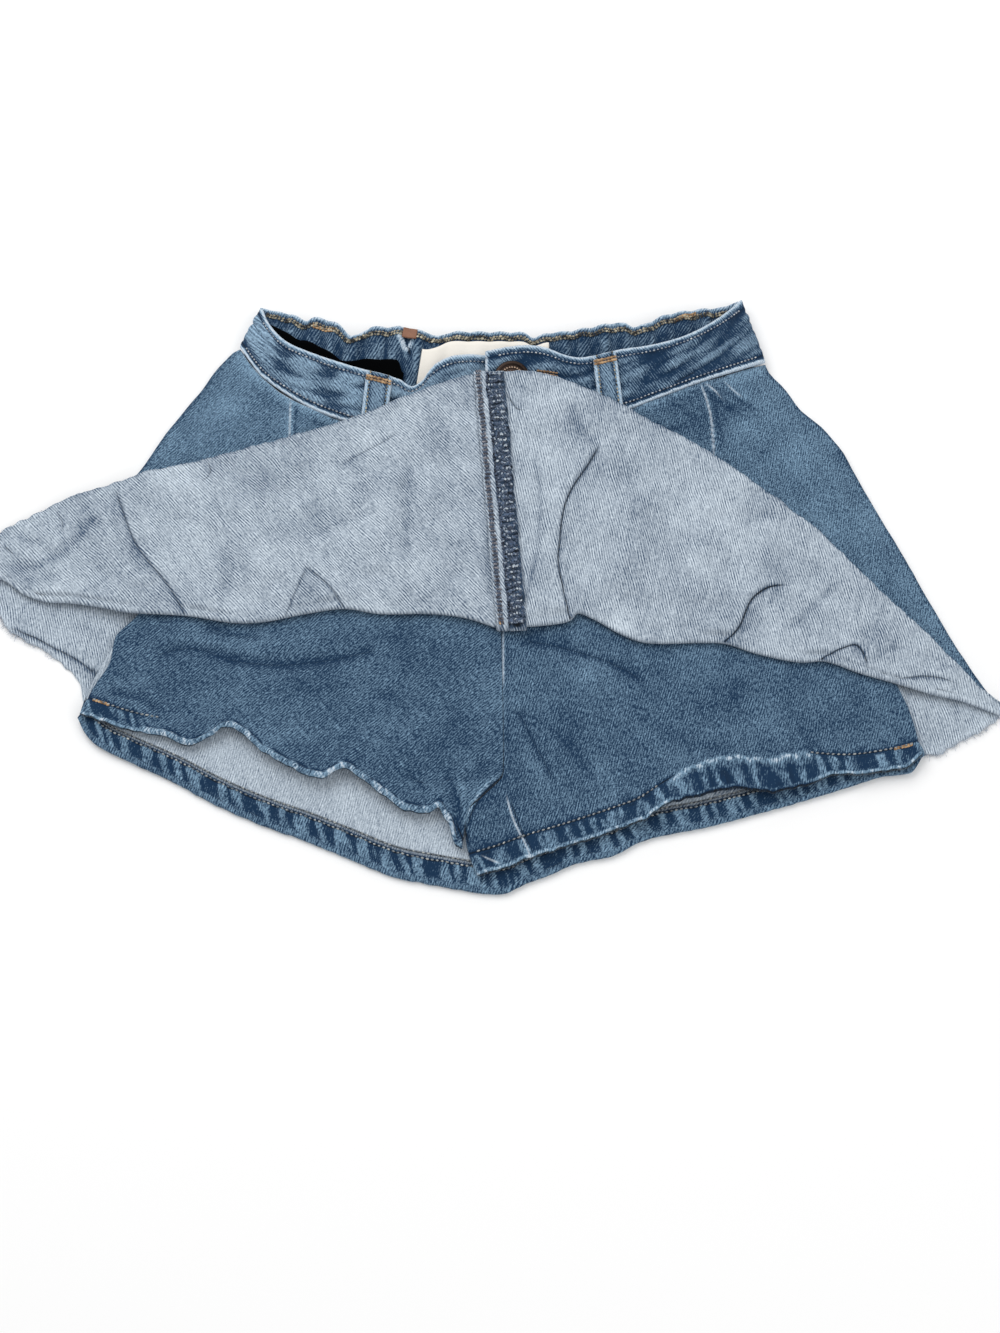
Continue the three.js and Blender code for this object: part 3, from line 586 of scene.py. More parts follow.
@cache
def twill_group():
    """Twill lines that break up, short floats along them, yarn slubs and grain, over cloth coordinates."""
    group, t, given, out = mask_group("Twill weave", ["Cloth"], {"Lean": 1.1, "Pitch": 0.001, "Float": 1.5},
                                      ("Rib", "Floats", "Slub", "Grain"))
    cloth, pitch = given["Cloth"], given["Pitch"]
    turned = t.first("ShaderNodeVectorRotate", {"Vector": cloth, "Angle": t.times(given["Lean"], -1.0)},
                     rotation_type="Z_AXIS")
    x, y, _ = t.parts(turned)
    along, across = t.math("DIVIDE", x, pitch), t.math("DIVIDE", y, pitch)
    phase = t.math("ADD", across, t.times(t.noise(cloth, 60.0, 0.0), 1.6))
    wave = t.math("SINE", t.times(phase, 2 * math.pi))
    breaks = t.noise(t.vector(t.times(along, 0.22), across), 0.55, 1.0)
    t.put(out["Rib"], t.times(wave, t.fit(breaks, 2.6, -0.75, clamp=True)))
    line = t.vector(t.math("DIVIDE", along, given["Float"]), t.times(phase, 1.7))
    x, y, _ = t.parts(cloth)
    warp = t.vector(t.math("DIVIDE", x, pitch), t.math("DIVIDE", y, t.times(pitch, 9.0)))
    for key, noise in (("Floats", (line, 1.0, 1.0, 0.6)), ("Slub", (warp, 0.55, 2.0, 0.6)),
                       ("Grain", (cloth, 1700.0, 1.0, 0.7))):
        t.put(out[key], t.fit(t.noise(*noise), 7.0, -3.5))
    return group


@cache
def wash_group():
    """Cloudy fading of washed cloth, from broad clouds down to a few millimetres, about one unit high."""
    group, t, given, out = mask_group("Wash", ["Cloth"], {"Cloud": 0.03}, ["Tone"])
    size = t.math("DIVIDE", 1.0, given["Cloud"])
    broad = t.noise(given["Cloth"], size, 2.0, 0.5)
    fine = t.noise(given["Cloth"], t.times(size, 7.0), 2.0, 0.6)
    t.put(out["Tone"], t.total((broad, 5.0), (fine, 4.0), -4.5))
    return group


@cache
def rub_group():
    """Where the dye is rubbed off: an attribute broken up by the weave."""
    group, t, given, out = mask_group("Rubbed dye", [], {"Wear": 0.0, "Weave": 0.0, "Bite": 0.35}, ["Mask"])
    broken = t.times(t.times(given["Weave"], given["Bite"]), given["Wear"])
    t.put(out["Mask"], t.math("ADD", given["Wear"], broken, clamp=True))
    return group


# ---------------------------------------------------------------- finishes


def material(name, **sockets):
    made = bpy.data.materials.new(name)
    made.use_nodes = True
    made.node_tree.nodes.clear()
    t = Tree(made.node_tree)
    shader = t.node("ShaderNodeBsdfPrincipled")
    t.node("ShaderNodeOutputMaterial", {"Surface": shader.outputs[0]})
    for key, value in sockets.items():
        shader.inputs[key.replace("_", " ")].default_value = value
    return made, t, shader.inputs


def thin_line(t, key, weave):
    """The mask of a line that Relief.line keeps, a little broken by the weave."""
    near, side = t.painted(f"{key}_near"), t.painted(f"{key}_side")
    core = t.fit(t.math("ABSOLUTE", side), -3.2, 1.6, clamp=True)
    return t.times(core, t.math("MULTIPLY", near, t.fit(weave, 0.3, 0.9), clamp=True))


CREASE_SHADE = (0.004, 0.007, 0.012)


def denim(name, dark, pale, lean, mean, rib, floats, grain, slub, cloud, wash, pale_edge):
    """Washed denim. mean is how pale it is overall; rib, floats, grain, slub and wash are how strongly each
    shows, cloud is the size of the wash's clouds, and pale_edge is how pale a rubbed place turns. The dark
    attribute and the crease lines darken it, down to near black: painted shade in creases, hollows and under
    laps, with some uneven dye in the dark attribute."""
    made, t, inputs = material(name, Roughness=0.92, Sheen_Weight=0.08, Sheen_Roughness=0.5,
                               Specular_IOR_Level=0.15)
    cloth = t.cloth()
    weave = t.use(twill_group(), Cloth=cloth, Lean=lean, Pitch=bpy.context.scene.skort_cloth.twill)
    tone = t.use(wash_group(), Cloth=cloth, Cloud=cloud)["Tone"]
    wear, shade = t.painted("wear"), t.painted("dark")
    fine = t.total((weave["Rib"], rib), (weave["Floats"], floats), (weave["Slub"], slub),
                   (weave["Grain"], grain))
    rubbed = t.use(rub_group(), Wear=wear, Weave=weave["Floats"], Bite=0.12)["Mask"]
    level = t.total(mean, fine, (tone, wash), (rubbed, pale_edge), (shade, -0.5))
    crease, crest = (thin_line(t, key, weave["Floats"]) for key in ("crease", "crest"))
    dyed = t.mix(t.math("ADD", level, 0.0, clamp=True), dark, pale)
    frayed = t.fit(t.total((rubbed, 1.0), (fine, 0.5)), 1.8, -1.15, clamp=True)
    rubbed_through = t.mix(t.math("MAXIMUM", frayed, crest), dyed, dye("bare"))
    # painted shade: crease lines and strong dark paint turn the colour near black
    deep = t.math("MAXIMUM", crease, t.fit(shade, 2.2, -2.0, clamp=True))
    t.put(inputs["Base Color"], t.mix(deep, rubbed_through, CREASE_SHADE))
    t.put(inputs["Normal"], t.bump(fine, 0.35, 0.4 * MM))
    return made


def thread(name, rgb, second):
    """Sewing thread, twisted, its colour turning in random spots towards a second one."""
    made, t, inputs = material(name, Roughness=0.75, Sheen_Weight=0.2, Specular_IOR_Level=0.3)
    place = t.place()
    spots = t.fit(t.noise(place, 420.0, 2.0, 0.7), 3.6, -1.5, clamp=True)
    t.put(inputs["Base Color"], t.mix(spots, second, rgb))
    twist = t.node("ShaderNodeTexWave", {"Vector": place, "Scale": 900.0, "Distortion": 2.0},
                   bands_direction="DIAGONAL")
    t.put(inputs["Normal"], t.bump(twist.outputs["Fac"], 0.4, 0.1 * MM))
    return made


def plain_weave(name, rgb, rough, contrast):
    """A flat woven tape or facing."""
    made, t, inputs = material(name, Roughness=rough, Specular_IOR_Level=0.05)
    cloth = t.cloth()
    x, y, _ = t.parts(cloth)
    weave = t.times(*(t.math("SINE", t.times(part, TAPE_YARNS * 6.283)) for part in (x, y)))
    cloud = t.noise(cloth, 120.0, 3.0)
    level = t.total((weave, 0.08 * contrast), (cloud, 0.5 * contrast), 1 - 0.25 * contrast)
    t.put(inputs["Base Color"], t.mix(level, (0, 0, 0), rgb))
    t.put(inputs["Normal"], t.bump(weave, 0.3, 0.2 * MM))
    return made


def leather(name, rgb):
    """Smooth leather with a fine grain."""
    made, t, inputs = material(name, Roughness=0.65)
    place = t.place()
    cells = t.node("ShaderNodeTexVoronoi", {"Vector": place, "Scale": 900.0}).outputs["Distance"]
    t.put(inputs["Base Color"], t.mix(t.noise(place, 300.0, 3.0), [0.6 * k for k in rgb], rgb))
    t.put(inputs["Normal"], t.bump(cells, 0.4, 0.2 * MM))
    return made


def old_metal(name, rgb):
    """Metal tarnished in spots."""
    made, t, inputs = material(name, Metallic=0.9)
    tarnish = t.noise(t.place(), 700.0, 4.0, 0.6)
    t.put(inputs["Base Color"], t.mix(tarnish, [0.25 * k for k in rgb], rgb))
    t.put(inputs["Roughness"], t.fit(tarnish, 0.35, 0.22))
    t.put(inputs["Normal"], t.bump(tarnish, 0.2, 0.2 * MM))
    return made


TAPE_YARNS = 1400.0  # in a metre
UP, DOWN = math.radians(63), math.radians(117)  # how the twill leans on the face and on the wrong side
FINISHES = {  # name: maker and its values, where a colour is a setting's name or a screen colour
    "denim_shorts": (denim, "face_dark", "face_pale", UP, 0.165, 0.22, 0.2, 0.17, 0.03, 0.03, 0.06, 0.6),
    "denim_skirt": (denim, "face_dark", "face_pale", UP, 0.3, 0.22, 0.18, 0.24, 0.04, 0.02, 0.07, 0.6),
    "denim_band": (denim, "face_dark", (160, 190, 214), UP, 0.27, 0.34, 0.14, 0.14, 0.04, 0.012, 0.08, 0.8),
    "denim_wrong": (denim, "wrong_dark", "wrong_pale", DOWN, 0.485, 0.42, 0.14, 0.08, 0.05, 0.022, 0.06, 0.22),
    "denim_inside": (denim, "wrong_dark", "wrong_pale", UP, 0.56, 0.24, 0.14, 0.1, 0.05, 0.02, 0.05, 0.22),
    "gold_thread": (thread, "gold", (38, 38, 38)),
    "orange_thread": (thread, "orange", (112, 84, 58)),
    "tan_thread": (thread, (212, 204, 180), (34, 34, 34)),
    "seam_thread": (thread, "pink", (44, 44, 52)),
    "overlock_thread": (thread, "overlock", (72, 92, 120)),
    "dash_thread": (thread, (188, 192, 190), (96, 104, 112)),
    "pale_thread": (thread, (214, 218, 220), (112, 122, 136)),
    "dark_thread": (thread, (30, 38, 54), (70, 84, 106)),
    "fibre_cotton": (thread, (196, 206, 220), (120, 138, 162)),
    "label_cloth": (plain_weave, "label", 0.8, 0.12),
    "facing_cloth": (plain_weave, "facing", 1.0, 0.5),
    "patch_leather": (leather, "leather"),
    "button_metal": (old_metal, "metal"),
    "bead_metal": (old_metal, (214, 186, 164)),
}


def dye(value):
    if isinstance(value, str):
        return getattr(bpy.context.scene.skort_colours, value)
    return colour(*value) if isinstance(value, tuple) else value


@cache
def finish(name):
    """The named finish, made the first time that it is asked for."""
    maker, *values = FINISHES[name]
    return maker(name, *map(dye, values))


# ---------------------------------------------------------------- meshes


def metres(points):
    """The part's frame from the rails' frame."""
    return (points + SHIFT) * MM


def turned(points, degrees):
    """Cloth coordinates of a piece whose grain is turned from upright, in metres."""
    x, y, a = points[..., 0], points[..., 1], math.radians(degrees)
    return np.stack([x * math.cos(a) + y * math.sin(a), y * math.cos(a) - x * math.sin(a)], -1) * MM


def plan(point):
    """x and y of a piece's points before its folds move them: together, and each alone."""
    flat = point[..., :2].copy()
    return flat, flat[..., 0], flat[..., 1]


def mesh_object(name, points, faces, finishes, face_finish, cloth=None, paint=None):
    mesh = bpy.data.meshes.new(name)
    mesh.from_pydata(points.tolist(), [], faces.tolist() if isinstance(faces, np.ndarray) else faces)
    for made in finishes:
        mesh.materials.append(finish(made))
    mesh.polygons.foreach_set("material_index", np.asarray(face_finish, np.int32))
    mesh.polygons.foreach_set("use_smooth", np.ones(len(mesh.polygons), bool))
    if cloth is not None:
        corner = np.empty(len(mesh.loops), np.int32)
        mesh.loops.foreach_get("vertex_index", corner)
        mesh.uv_layers.new(name=CLOTH_MAP).uv.foreach_set("vector", cloth[corner].astype(np.float32).ravel())
    for key, values in (paint or {}).items():
        mesh.attributes.new(key, "FLOAT", "POINT").data.foreach_set("value", np.asarray(values, np.float32))
    mesh.update()
    piece = bpy.data.objects.new(name + "_made", mesh)
    bpy.context.collection.objects.link(piece)
    return piece


SURFACES = {}  # the upper sides of pieces, on which paths are laid


def keep_surface(name, points, quads):
    SURFACES[name] = BVHTree.FromPolygons(metres(points.reshape(-1, 3)).tolist(), quads.tolist())


def cells(grid):
    """The quads of a grid, wound for its upper side and for its lower side."""
    index = np.arange(grid[0] * grid[1]).reshape(grid)
    a, b, c, d = index[:-1, :-1], index[1:, :-1], index[1:, 1:], index[:-1, 1:]
    return [np.stack(ring, -1).reshape(-1, 4) for ring in ((a, b, c, d), (a, d, c, b))]


def shell(name, rows, up, down, cloth, finishes, wear=0.0, dark=0.0, low_wear=0.0, low_dark=0.0, rim_wear=0.8,
          bulge=0.25, up_finish=None, lines=None):
    """A closed wall round a grid of points in millimetres, with a rounded rim.

    finishes are those of the upper side, the lower side and the rim."""
    grid = height, width = rows.shape[:2]
    count = height * width
    out = normals(rows)
    up, down = (np.broadcast_to(k, grid)[..., None] for k in (up, down))
    top, low = rows + out * up, rows - out * down
    edge = np.array([(0, i) for i in range(width)] + [(j, width - 1) for j in range(1, height)]
                    + [(height - 1, i) for i in range(width - 2, -1, -1)] + [(j, 0) for j in range(height - 2,
                                                                                                   0, -1)])
    ej, ei = edge.T
    away = np.zeros(rows.shape)
    away[0] += unit(rows[0] - rows[1])
    away[-1] += unit(rows[-1] - rows[-2])
    away[:, 0] += unit(rows[:, 0] - rows[:, 1])
    away[:, -1] += unit(rows[:, -1] - rows[:, -2])
    away = unit(away[ej, ei])
    rim = (top[ej, ei] + low[ej, ei]) / 2 + away * (up + down)[ej, ei] * bulge
    points = np.vstack([top.reshape(-1, 3), low.reshape(-1, 3), rim])
    tops, lows = cells(grid)
    here = ej * width + ei
    ring = 2 * count + np.arange(len(here))
    there, ring_on = np.roll(here, -1), np.roll(ring, -1)
    rims = np.vstack([np.stack(quad, -1) for quad in ((here, there, ring_on, ring),
                                                      (ring, ring_on, there + count, here + count))])
    faces = np.vstack([tops, lows + count, rims])
    which = np.repeat([0, 1, len(finishes) - 1], [len(tops), len(lows), len(rims)])
    if up_finish is not None:
        which[: len(tops)] = up_finish[:-1, :-1].ravel()

    def painted(upper, lower, rim_value=-np.inf):
        upper, lower, rim_value = (np.broadcast_to(k, grid) for k in (upper, lower, rim_value))
        return np.r_[upper.ravel(), lower.ravel(), np.maximum(upper, rim_value)[ej, ei]]

    coordinates = np.vstack([cloth.reshape(-1, 2)] * 2 + [cloth[ej, ei] + away[:, :2] * 0.6 * MM])
    paint = {"wear": painted(wear, low_wear, rim_wear), "dark": painted(dark, low_dark)}
    for key, (near, side) in (lines or {}).items():
        paint.update({key + "_near": painted(near, near), key + "_side": painted(side, side)})
    keep_surface(name, top, tops)
    return mesh_object(name, metres(points), faces, finishes, which, coordinates, paint)


PIECES = {}


def keep(name, piece):
    """Puts a finished piece in the place of its solid."""
    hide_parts(name)
    PIECES[name] = piece


DROP_STEP = 0.7  # along a path that is laid on a piece


def dropped(name, path, lift):
    """A path laid on a finished piece from above: points and normals in metres.

    The path is a table of points, or a surface's points along it."""
    if not isinstance(path, np.ndarray):
        line = rail(*path)
        path = line(np.linspace(0, 1, max(3, int(line.length / DROP_STEP)) + 1))
    points, ups = [], []
    for p in metres(path):
        place, normal, _, _ = SURFACES[name].ray_cast(Vector((p[0], p[1], 0.2)), Vector((0, 0, -1)))
        if place is not None:
            normal = normal if normal.z > 0 else -normal
            points.append(place + normal * lift * MM)
            ups.append(normal)
    return np.array(points), np.array(ups)


# ---------------------------------------------------------------- stitches


def path_tree(name, **sizes):
    """The start of a tree that puts copies of a form along paths, a pitch apart."""
    inputs = [("Geometry", "Geometry"), *((key, "Float", value) for key, value in sizes.items()),
              ("Seed", "Int", 7), ("Thread", "Material")]
    tree, t, given, out = new_group("GeometryNodeTree", name, inputs, [("Geometry", "Geometry")])
    curve = t.first("GeometryNodeMeshToCurve", {"Mesh": given["Geometry"]})
    spacing = given[list(sizes)[0]]
    points = t.first("GeometryNodeResampleCurve", {"Curve": curve, "Length": spacing}, mode="LENGTH")
    up = t.first("GeometryNodeInputNamedAttribute", {"Name": "up"}, data_type="FLOAT_VECTOR")
    return tree, t, given, out, points, up


def swing(t, given, low, high):
    return t.first("FunctionNodeRandomValue", {"Min": low, "Max": high, "Seed": given["Seed"]},
                   data_type="FLOAT_VECTOR")


def vary(t, given, low, high, seed_step):
    inputs = {2: low, 3: high, "Seed": t.math("ADD", given["Seed"], seed_step)}
    return t.node("FunctionNodeRandomValue", inputs, data_type="FLOAT").outputs[1]


def put_along(t, given, out, points, form, rotation, angle, scale, soft):
    """The end of such a tree: the copies are made real and get their thread."""
    angle = t.first("FunctionNodeEulerToRotation", {0: angle})
    rotation = t.first("FunctionNodeRotateRotation", {0: rotation, 1: angle}, rotation_space="LOCAL")
    made = t.first("GeometryNodeInstanceOnPoints", {"Points": points, "Instance": form, "Rotation": rotation,
                                                    "Scale": scale})
    made = t.first("GeometryNodeRealizeInstances", {0: made})
    if soft:
        made = t.first("GeometryNodeSetShadeSmooth", {0: made})
    t.put(out[0], t.first("GeometryNodeSetMaterial", {"Geometry": made, "Material": given["Thread"]}))


@cache
def stitch_tree():
    """Stitches along paths: lozenges of thread, each laid along its path or across it."""
    tree, t, given, out, points, up = path_tree("Stitch rows", Pitch=0.0026, Length=0.0021, Radius=0.0003,
                                                Turn=0.0, Jitter=0.1)
    tangent = t.first("GeometryNodeInputTangent")
    along = t.first("FunctionNodeAlignRotationToVector", {"Vector": tangent}, axis="X")
    upright = t.first("FunctionNodeAlignRotationToVector", {"Rotation": along, "Vector": up}, axis="Z",
                      pivot_axis="X")
    wobble = t.first("ShaderNodeVectorMath", {0: swing(t, given, (0.0, 0.0, -1.0), (0.0, 0.0, 1.0)),
                                              "Scale": given["Jitter"]}, operation="SCALE")
    angle = t.first("ShaderNodeVectorMath", {0: wobble, 1: t.vector(z=given["Turn"])}, operation="ADD")
    lozenge = t.first("GeometryNodeMeshUVSphere", {"Segments": 8, "Rings": 5, "Radius": 1.0})
    size = t.vector(t.times(given["Length"], 0.5), t.times(given["Radius"], 1.35),
                    t.times(given["Radius"], 0.9))
    scale = t.first("ShaderNodeVectorMath", {0: size, "Scale": vary(t, given, 0.82, 1.12, 5)},
                    operation="SCALE")
    put_along(t, given, out, points, lozenge, upright, angle, scale, True)
    return tree


@cache
def fibre_tree():
    """Loose fibres along a raw edge, each a thin bent hair."""
    tree, t, given, out, points, up = path_tree("Raw edge fibres", Spacing=0.0007, Length=0.0022,
                                                Radius=0.00007)
    upright = t.first("FunctionNodeAlignRotationToVector", {"Vector": up}, axis="Z")
    line = t.first("GeometryNodeCurveQuadraticBezier",
                   {"Resolution": 4, "Start": (0, 0, 0), "Middle": (0.25, 0, 0.5), "End": (0.05, 0.1, 1)})
    round_it = t.first("GeometryNodeCurvePrimitiveCircle",
                       {"Resolution": 3, "Radius": t.math("DIVIDE", given["Radius"], given["Length"])})
    hair = t.first("GeometryNodeCurveToMesh", {0: line, "Profile Curve": round_it})
    put_along(t, given, out, points, hair, upright, swing(t, given, (-1.1, -1.1, 0.0), (1.1, 1.1, 6.28)),
              t.times(vary(t, given, 0.3, 1.0, 3), given["Length"]), False)
    return tree


def run_tree(tree, name, paths, thread_name, slot, **inputs):
    """A plain mesh from a Geometry Nodes tree run over paths of (points, ups)."""
    points, ups, edges = [], [], []
    for places, directions in paths:
        start = len(points)
        points += [tuple(p) for p in places]
        ups += [tuple(d) for d in directions]
        edges += [(start + k, start + k + 1) for k in range(len(places) - 1)]
    if not edges:
        raise RuntimeError(f"{name} has no path")
    mesh = bpy.data.meshes.new(name + "_paths")
    mesh.from_pydata(points, edges, [])
    mesh.attributes.new("up", "FLOAT_VECTOR", "POINT").data.foreach_set("vector",
                                                                        np.array(ups, np.float32).ravel())
    holder = bpy.data.objects.new(name + "_paths", mesh)
    bpy.context.collection.objects.link(holder)
    modifier = holder.modifiers.new("tree", "NODES")
    modifier.node_group = tree
    named = {s.name: s.identifier for s in tree.interface.items_tree if s.in_out == "INPUT"}
    inputs.update(Thread=finish(thread_name), Seed=bpy.context.scene.skort_stitching.seed)
    for socket, value in inputs.items():
        modifier[named[socket]] = value
    graph = bpy.context.evaluated_depsgraph_get()
    made = bpy.data.meshes.new_from_object(holder.evaluated_get(graph))
    holder.modifiers.remove(modifier)
    bpy.data.objects.remove(holder)
    if not made.polygons:
        raise RuntimeError(f"{name} came out empty")
    made.name = name
    piece = bpy.data.objects.new(name, made)
    bpy.context.collection.objects.link(piece)
    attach(piece, "root")


def stitches(name, paths, thread_name, pitch, share, radius, turn=0.0, jitter=0.06):
    """A row of stitches along each path. share is how much of the pitch a stitch fills."""
    s = bpy.context.scene.skort_stitching
    run_tree(stitch_tree(), name, paths, thread_name, "denim_face", Pitch=pitch * MM * s.pitch,
             Length=pitch * share * MM * s.pitch, Radius=radius * MM * s.thread, Turn=turn, Jitter=jitter)


# ---------------------------------------------------------------- pieces


def skirt_relief(point, w):
    """Folds of a skirt front, by what shows at each point, with painted shade in their hollows and under their
    laps.
    """
    x, y = point[..., 0], point[..., 1]
    under = Relief(x, y)
    under.ridge(((-103.6, 141), (-103.6, 128), (-103, 104)), 0.9, 0.8, pale=0.2, crest=0.5)
    under.lap(((-101.5, 108), (-101.5, 122), (-102, 138)), 0.7, 4, dark=0.5, pale=0.1)
    under.ridge(((-118, 148), (-121, 136), (-124, 124)), 0.5, 3.0)
    under.ridge(((-97, 128), (-88, 124), (-80, 121)), -0.4, 2.0, dark=0.35)
    under.ridge(((99, 148), (102, 138), (104, 128), (105, 104)), 0.9, 0.8, pale=0.2, crest=0.6)
    under.lap(((108, 106), (106.5, 128), (104, 138), (101, 146)), 0.6, 3, dark=0.5, pale=0.1)
    under.ridge(((99, 147), (105, 144), (110, 138)), 0.6, 0.9, pale=0.25, crest=0.5)
    under.ridge(((111, 149), (116, 143), (121, 139)), 0.6, 1.0, pale=0.25, crest=0.35)
    under.ridge(((118, 143), (124, 138), (131, 137)), 0.5, 1.0, pale=0.35)
    under.ridge(((104, 141), (111, 134), (122, 131)), -0.5, 2.5, dark=0.5)
    under.ridge(((113, 145), (119, 137), (128, 133)), -0.4, 1.4, dark=0.4)
    under.ridge(((84, 136), (92, 131), (100, 126)), -0.4, 2.4, dark=0.4)
    under.ridge(((72, 124), (84, 122), (94, 126)), -0.4, 3.0, dark=0.35)
    under.ridge(((134, 118), (131, 110), (124, 103)), -0.4, 3.0, dark=0.3)
    under.dark += 0.34 * smooth((y - 104) / 22) * smooth((x - 52) / 12) * smooth((126 - x) / 26)
    under.ridge(((120, 128), (130, 118), (132, 104)), 0.5, 3.5, pale=0.1)
    under.height += 0.3 * ripple(x, y, 26, 3) + 0.12 * ripple(x, y, 8, 4)
    under.dark += 0.05 * ripple(x, y, 18, 6)

    over = Relief(x, y)
    # left of the centre
    over.lap(((-187, 90), (-182, 77), (-176, 62), (-168, 50), (-158, 38), (-152, 28), (-147, 18)), 2.0, 14,
             steep=4, dark=0.6, pale=0.12, crease=0.55)
    over.ridge(((-190, 88), (-183, 66), (-166, 40)), -0.6, 4, dark=0.16)
    over.ridge(((-196, 84), (-186, 58), (-170, 34)), 1.2, 8)
    over.lap(((-95, 49), (-85, 41), (-78, 33), (-70, 20)), 1.4, 8, dark=0.5, crease=0.55)
    over.lap(((-104, 18), (-98, 34), (-92, 49)), 1.0, 8, dark=0.35, crease=0.35)
    over.ridge(((-91, 40), (-89, 32), (-90, 25)), -0.9, 5, dark=0.2)
    over.ridge(((-134, 62), (-132, 45), (-131, 28)), -1.2, 4, dark=0.26)
    over.ridge(((-143, 104), (-141, 96), (-146, 91)), -0.5, 1.4, dark=0.3, crease=0.5)
    over.ridge(((-78, 100), (-67, 106), (-60, 109), (-52, 114), (-48, 117)), -0.7, 1.6, dark=0.34, crease=0.35)
    over.ridge(((-82, 98), (-68, 103), (-58, 106)), -0.7, 4, dark=0.14)
    over.ridge(((-44, 104), (-45, 76), (-46, 46)), -1.1, 4.5, dark=0.26)
    over.ridge(((-98, 62), (-80, 68), (-58, 77)), -0.8, 4, dark=0.2)
    over.ridge(((-5, 66), (-6, 46), (-4, 26)), -0.8, 2.4, dark=0.35)
    over.ridge(((-116, 90), (-112, 34)), 1.2, 12)
    over.ridge(((-66, 96), (-60, 40)), 1.2, 12)
    # right of the centre
    over.lap(((36, 10), (32.5, 22), (31, 27), (29, 37), (27, 50), (28, 60), (29, 70), (32, 82), (36, 90),
              (42, 99), (49, 111)), 2.6, 9, steep=4, dark=0.6, pale=0.12, edge=0.6, crease=0.9)
    over.ridge(((32, 133), (38, 120), (45, 110), (44, 104)), -0.9, 3.4, dark=0.36)
    over.ridge(((15, 104), (19, 90), (20, 80), (19, 66), (17, 50), (14, 37), (11, 26)), -1.0, 2.0, dark=0.36)
    over.ridge(((3, 137), (6, 131), (9, 127.5), (13, 127)), -0.6, 1.0, dark=0.4, crease=0.7)
    over.lap(((97, 3), (104, 8), (109, 12), (113, 17), (116, 24), (119, 30), (123, 34), (128, 37), (138, 38)),
             3.0, 8, steep=4, dark=0.7, pale=0.1, edge=0.6, crease=1.0)
    over.ridge(((112, 11), (119, 19), (121, 29)), -0.8, 2.4, dark=0.4)
    over.ridge(((133, 15), (140, 18), (146, 23), (152, 31), (160, 36), (166, 38)), -1.0, 3.0, dark=0.3)
    over.lap(((143, -3), (150, 0), (156, 3.4), (162, 6.2), (168, 7.8), (171, 5.5), (173, 1), (174, -6)), 1.8, 6,
             dark=0.6, pale=0.15, edge=0.6, crease=0.85)
    over.ridge(((160, 14), (172, 13), (186, 20)), -0.6, 3, dark=0.15)
    over.ridge(((178, 1), (184, 5), (192, 6)), -0.7, 2.4, dark=0.25)
    over.ridge(((186, 0), (194, 1), (201, 6)), -0.5, 1.6, dark=0.2)
    over.lap(((184, -9), (192, -8), (200, -7), (208, -8), (216, -11)), 1.2, 5, dark=0.5, crease=0.5)
    over.ridge(((205, -6), (212, -2), (218, -8)), -0.5, 2, dark=0.2)
    over.ridge(((66, 92), (58, 30)), 1.2, 14)
    over.ridge(((92, 62), (100, 24)), 1.2, 11)
    over.ridge(((104, 47), (116, 50), (126, 58)), -0.7, 4, dark=0.16)
    over.ridge(((112, 66), (128, 74), (138, 72)), -0.6, 3, dark=0.16)
    over.ridge(((150, 44), (190, 2)), 1.2, 9)
    # the left tip
    over.ridge(((-242, 48), (-230, 49), (-222, 50), (-212, 56), (-206, 62), (-200, 70), (-191, 72)), -1.5, 4.4,
               dark=0.46)
    over.ridge(((-236, 44), (-222, 42), (-210, 44)), -0.8, 5, dark=0.3)
    over.lap(((-247, 41), (-238, 39), (-233, 35), (-228, 32), (-218, 30), (-206, 29), (-195, 28), (-184, 26),
              (-171, 24)), 1.6, 7, dark=0.6, crease=0.8)
    over.ridge(((-222, 30), (-213, 26), (-204, 24), (-197, 22)), -0.6, 2.4, dark=0.3)
    over.ridge(((-240, 60), (-234, 55)), -0.4, 1.2, dark=0.3, crease=0.6)
    over.ridge(((-217, 80), (-212, 72), (-212, 66)), -0.4, 1.6, dark=0.3, crease=0.3)
    over.ridge(((-236, 68), (-226, 62), (-218, 62)), -0.6, 3.0, dark=0.34)
    over.ridge(((-206, 84), (-198, 76), (-193, 66)), -0.5, 3.0, dark=0.22)
    over.ridge(((-228, 64), (-214, 70)), 0.8, 5)
    over.height += 0.45 * (ripple(x, y, 34, 11) + 1) + 0.26 * ripple(x, y, 13, 12) + 0.1 * ripple(x, y, 5, 13)
    over.dark += 0.06 * ripple(x, 0.6 * y, 60, 17) + 0.06 * ripple(x, y, 24, 15) + 0.04 * ripple(x, y, 7, 16)
    over.dark += 0.3 * smooth((w - 2.985) / 0.012) + 0.06 * smooth((w - 2.86) / 0.12)
    raw = smooth((w - 2.93) / 0.07)
    over.height += raw * 0.25 * ripple(x, y, 9, 14)

    low, high = smooth((1 - w) / 0.18), smooth((w - 2) / 0.04)
    lines = {}
    for key in ("crease", "crest"):
        (a, b), (c, d) = (side.lines.get(key, (0 * x - 1, 0 * x)) for side in (under, over))
        lines[key] = (np.where(w < 1, a, np.where(w > 1.7, c, -1)), np.where(w < 1.5, b, d))
    return (under.height * low + over.height * high, under.wear * (w < 1) + over.wear * (w > 1.7),
            under.dark * (w < 1) + over.dark * (w > 1.7), lines)


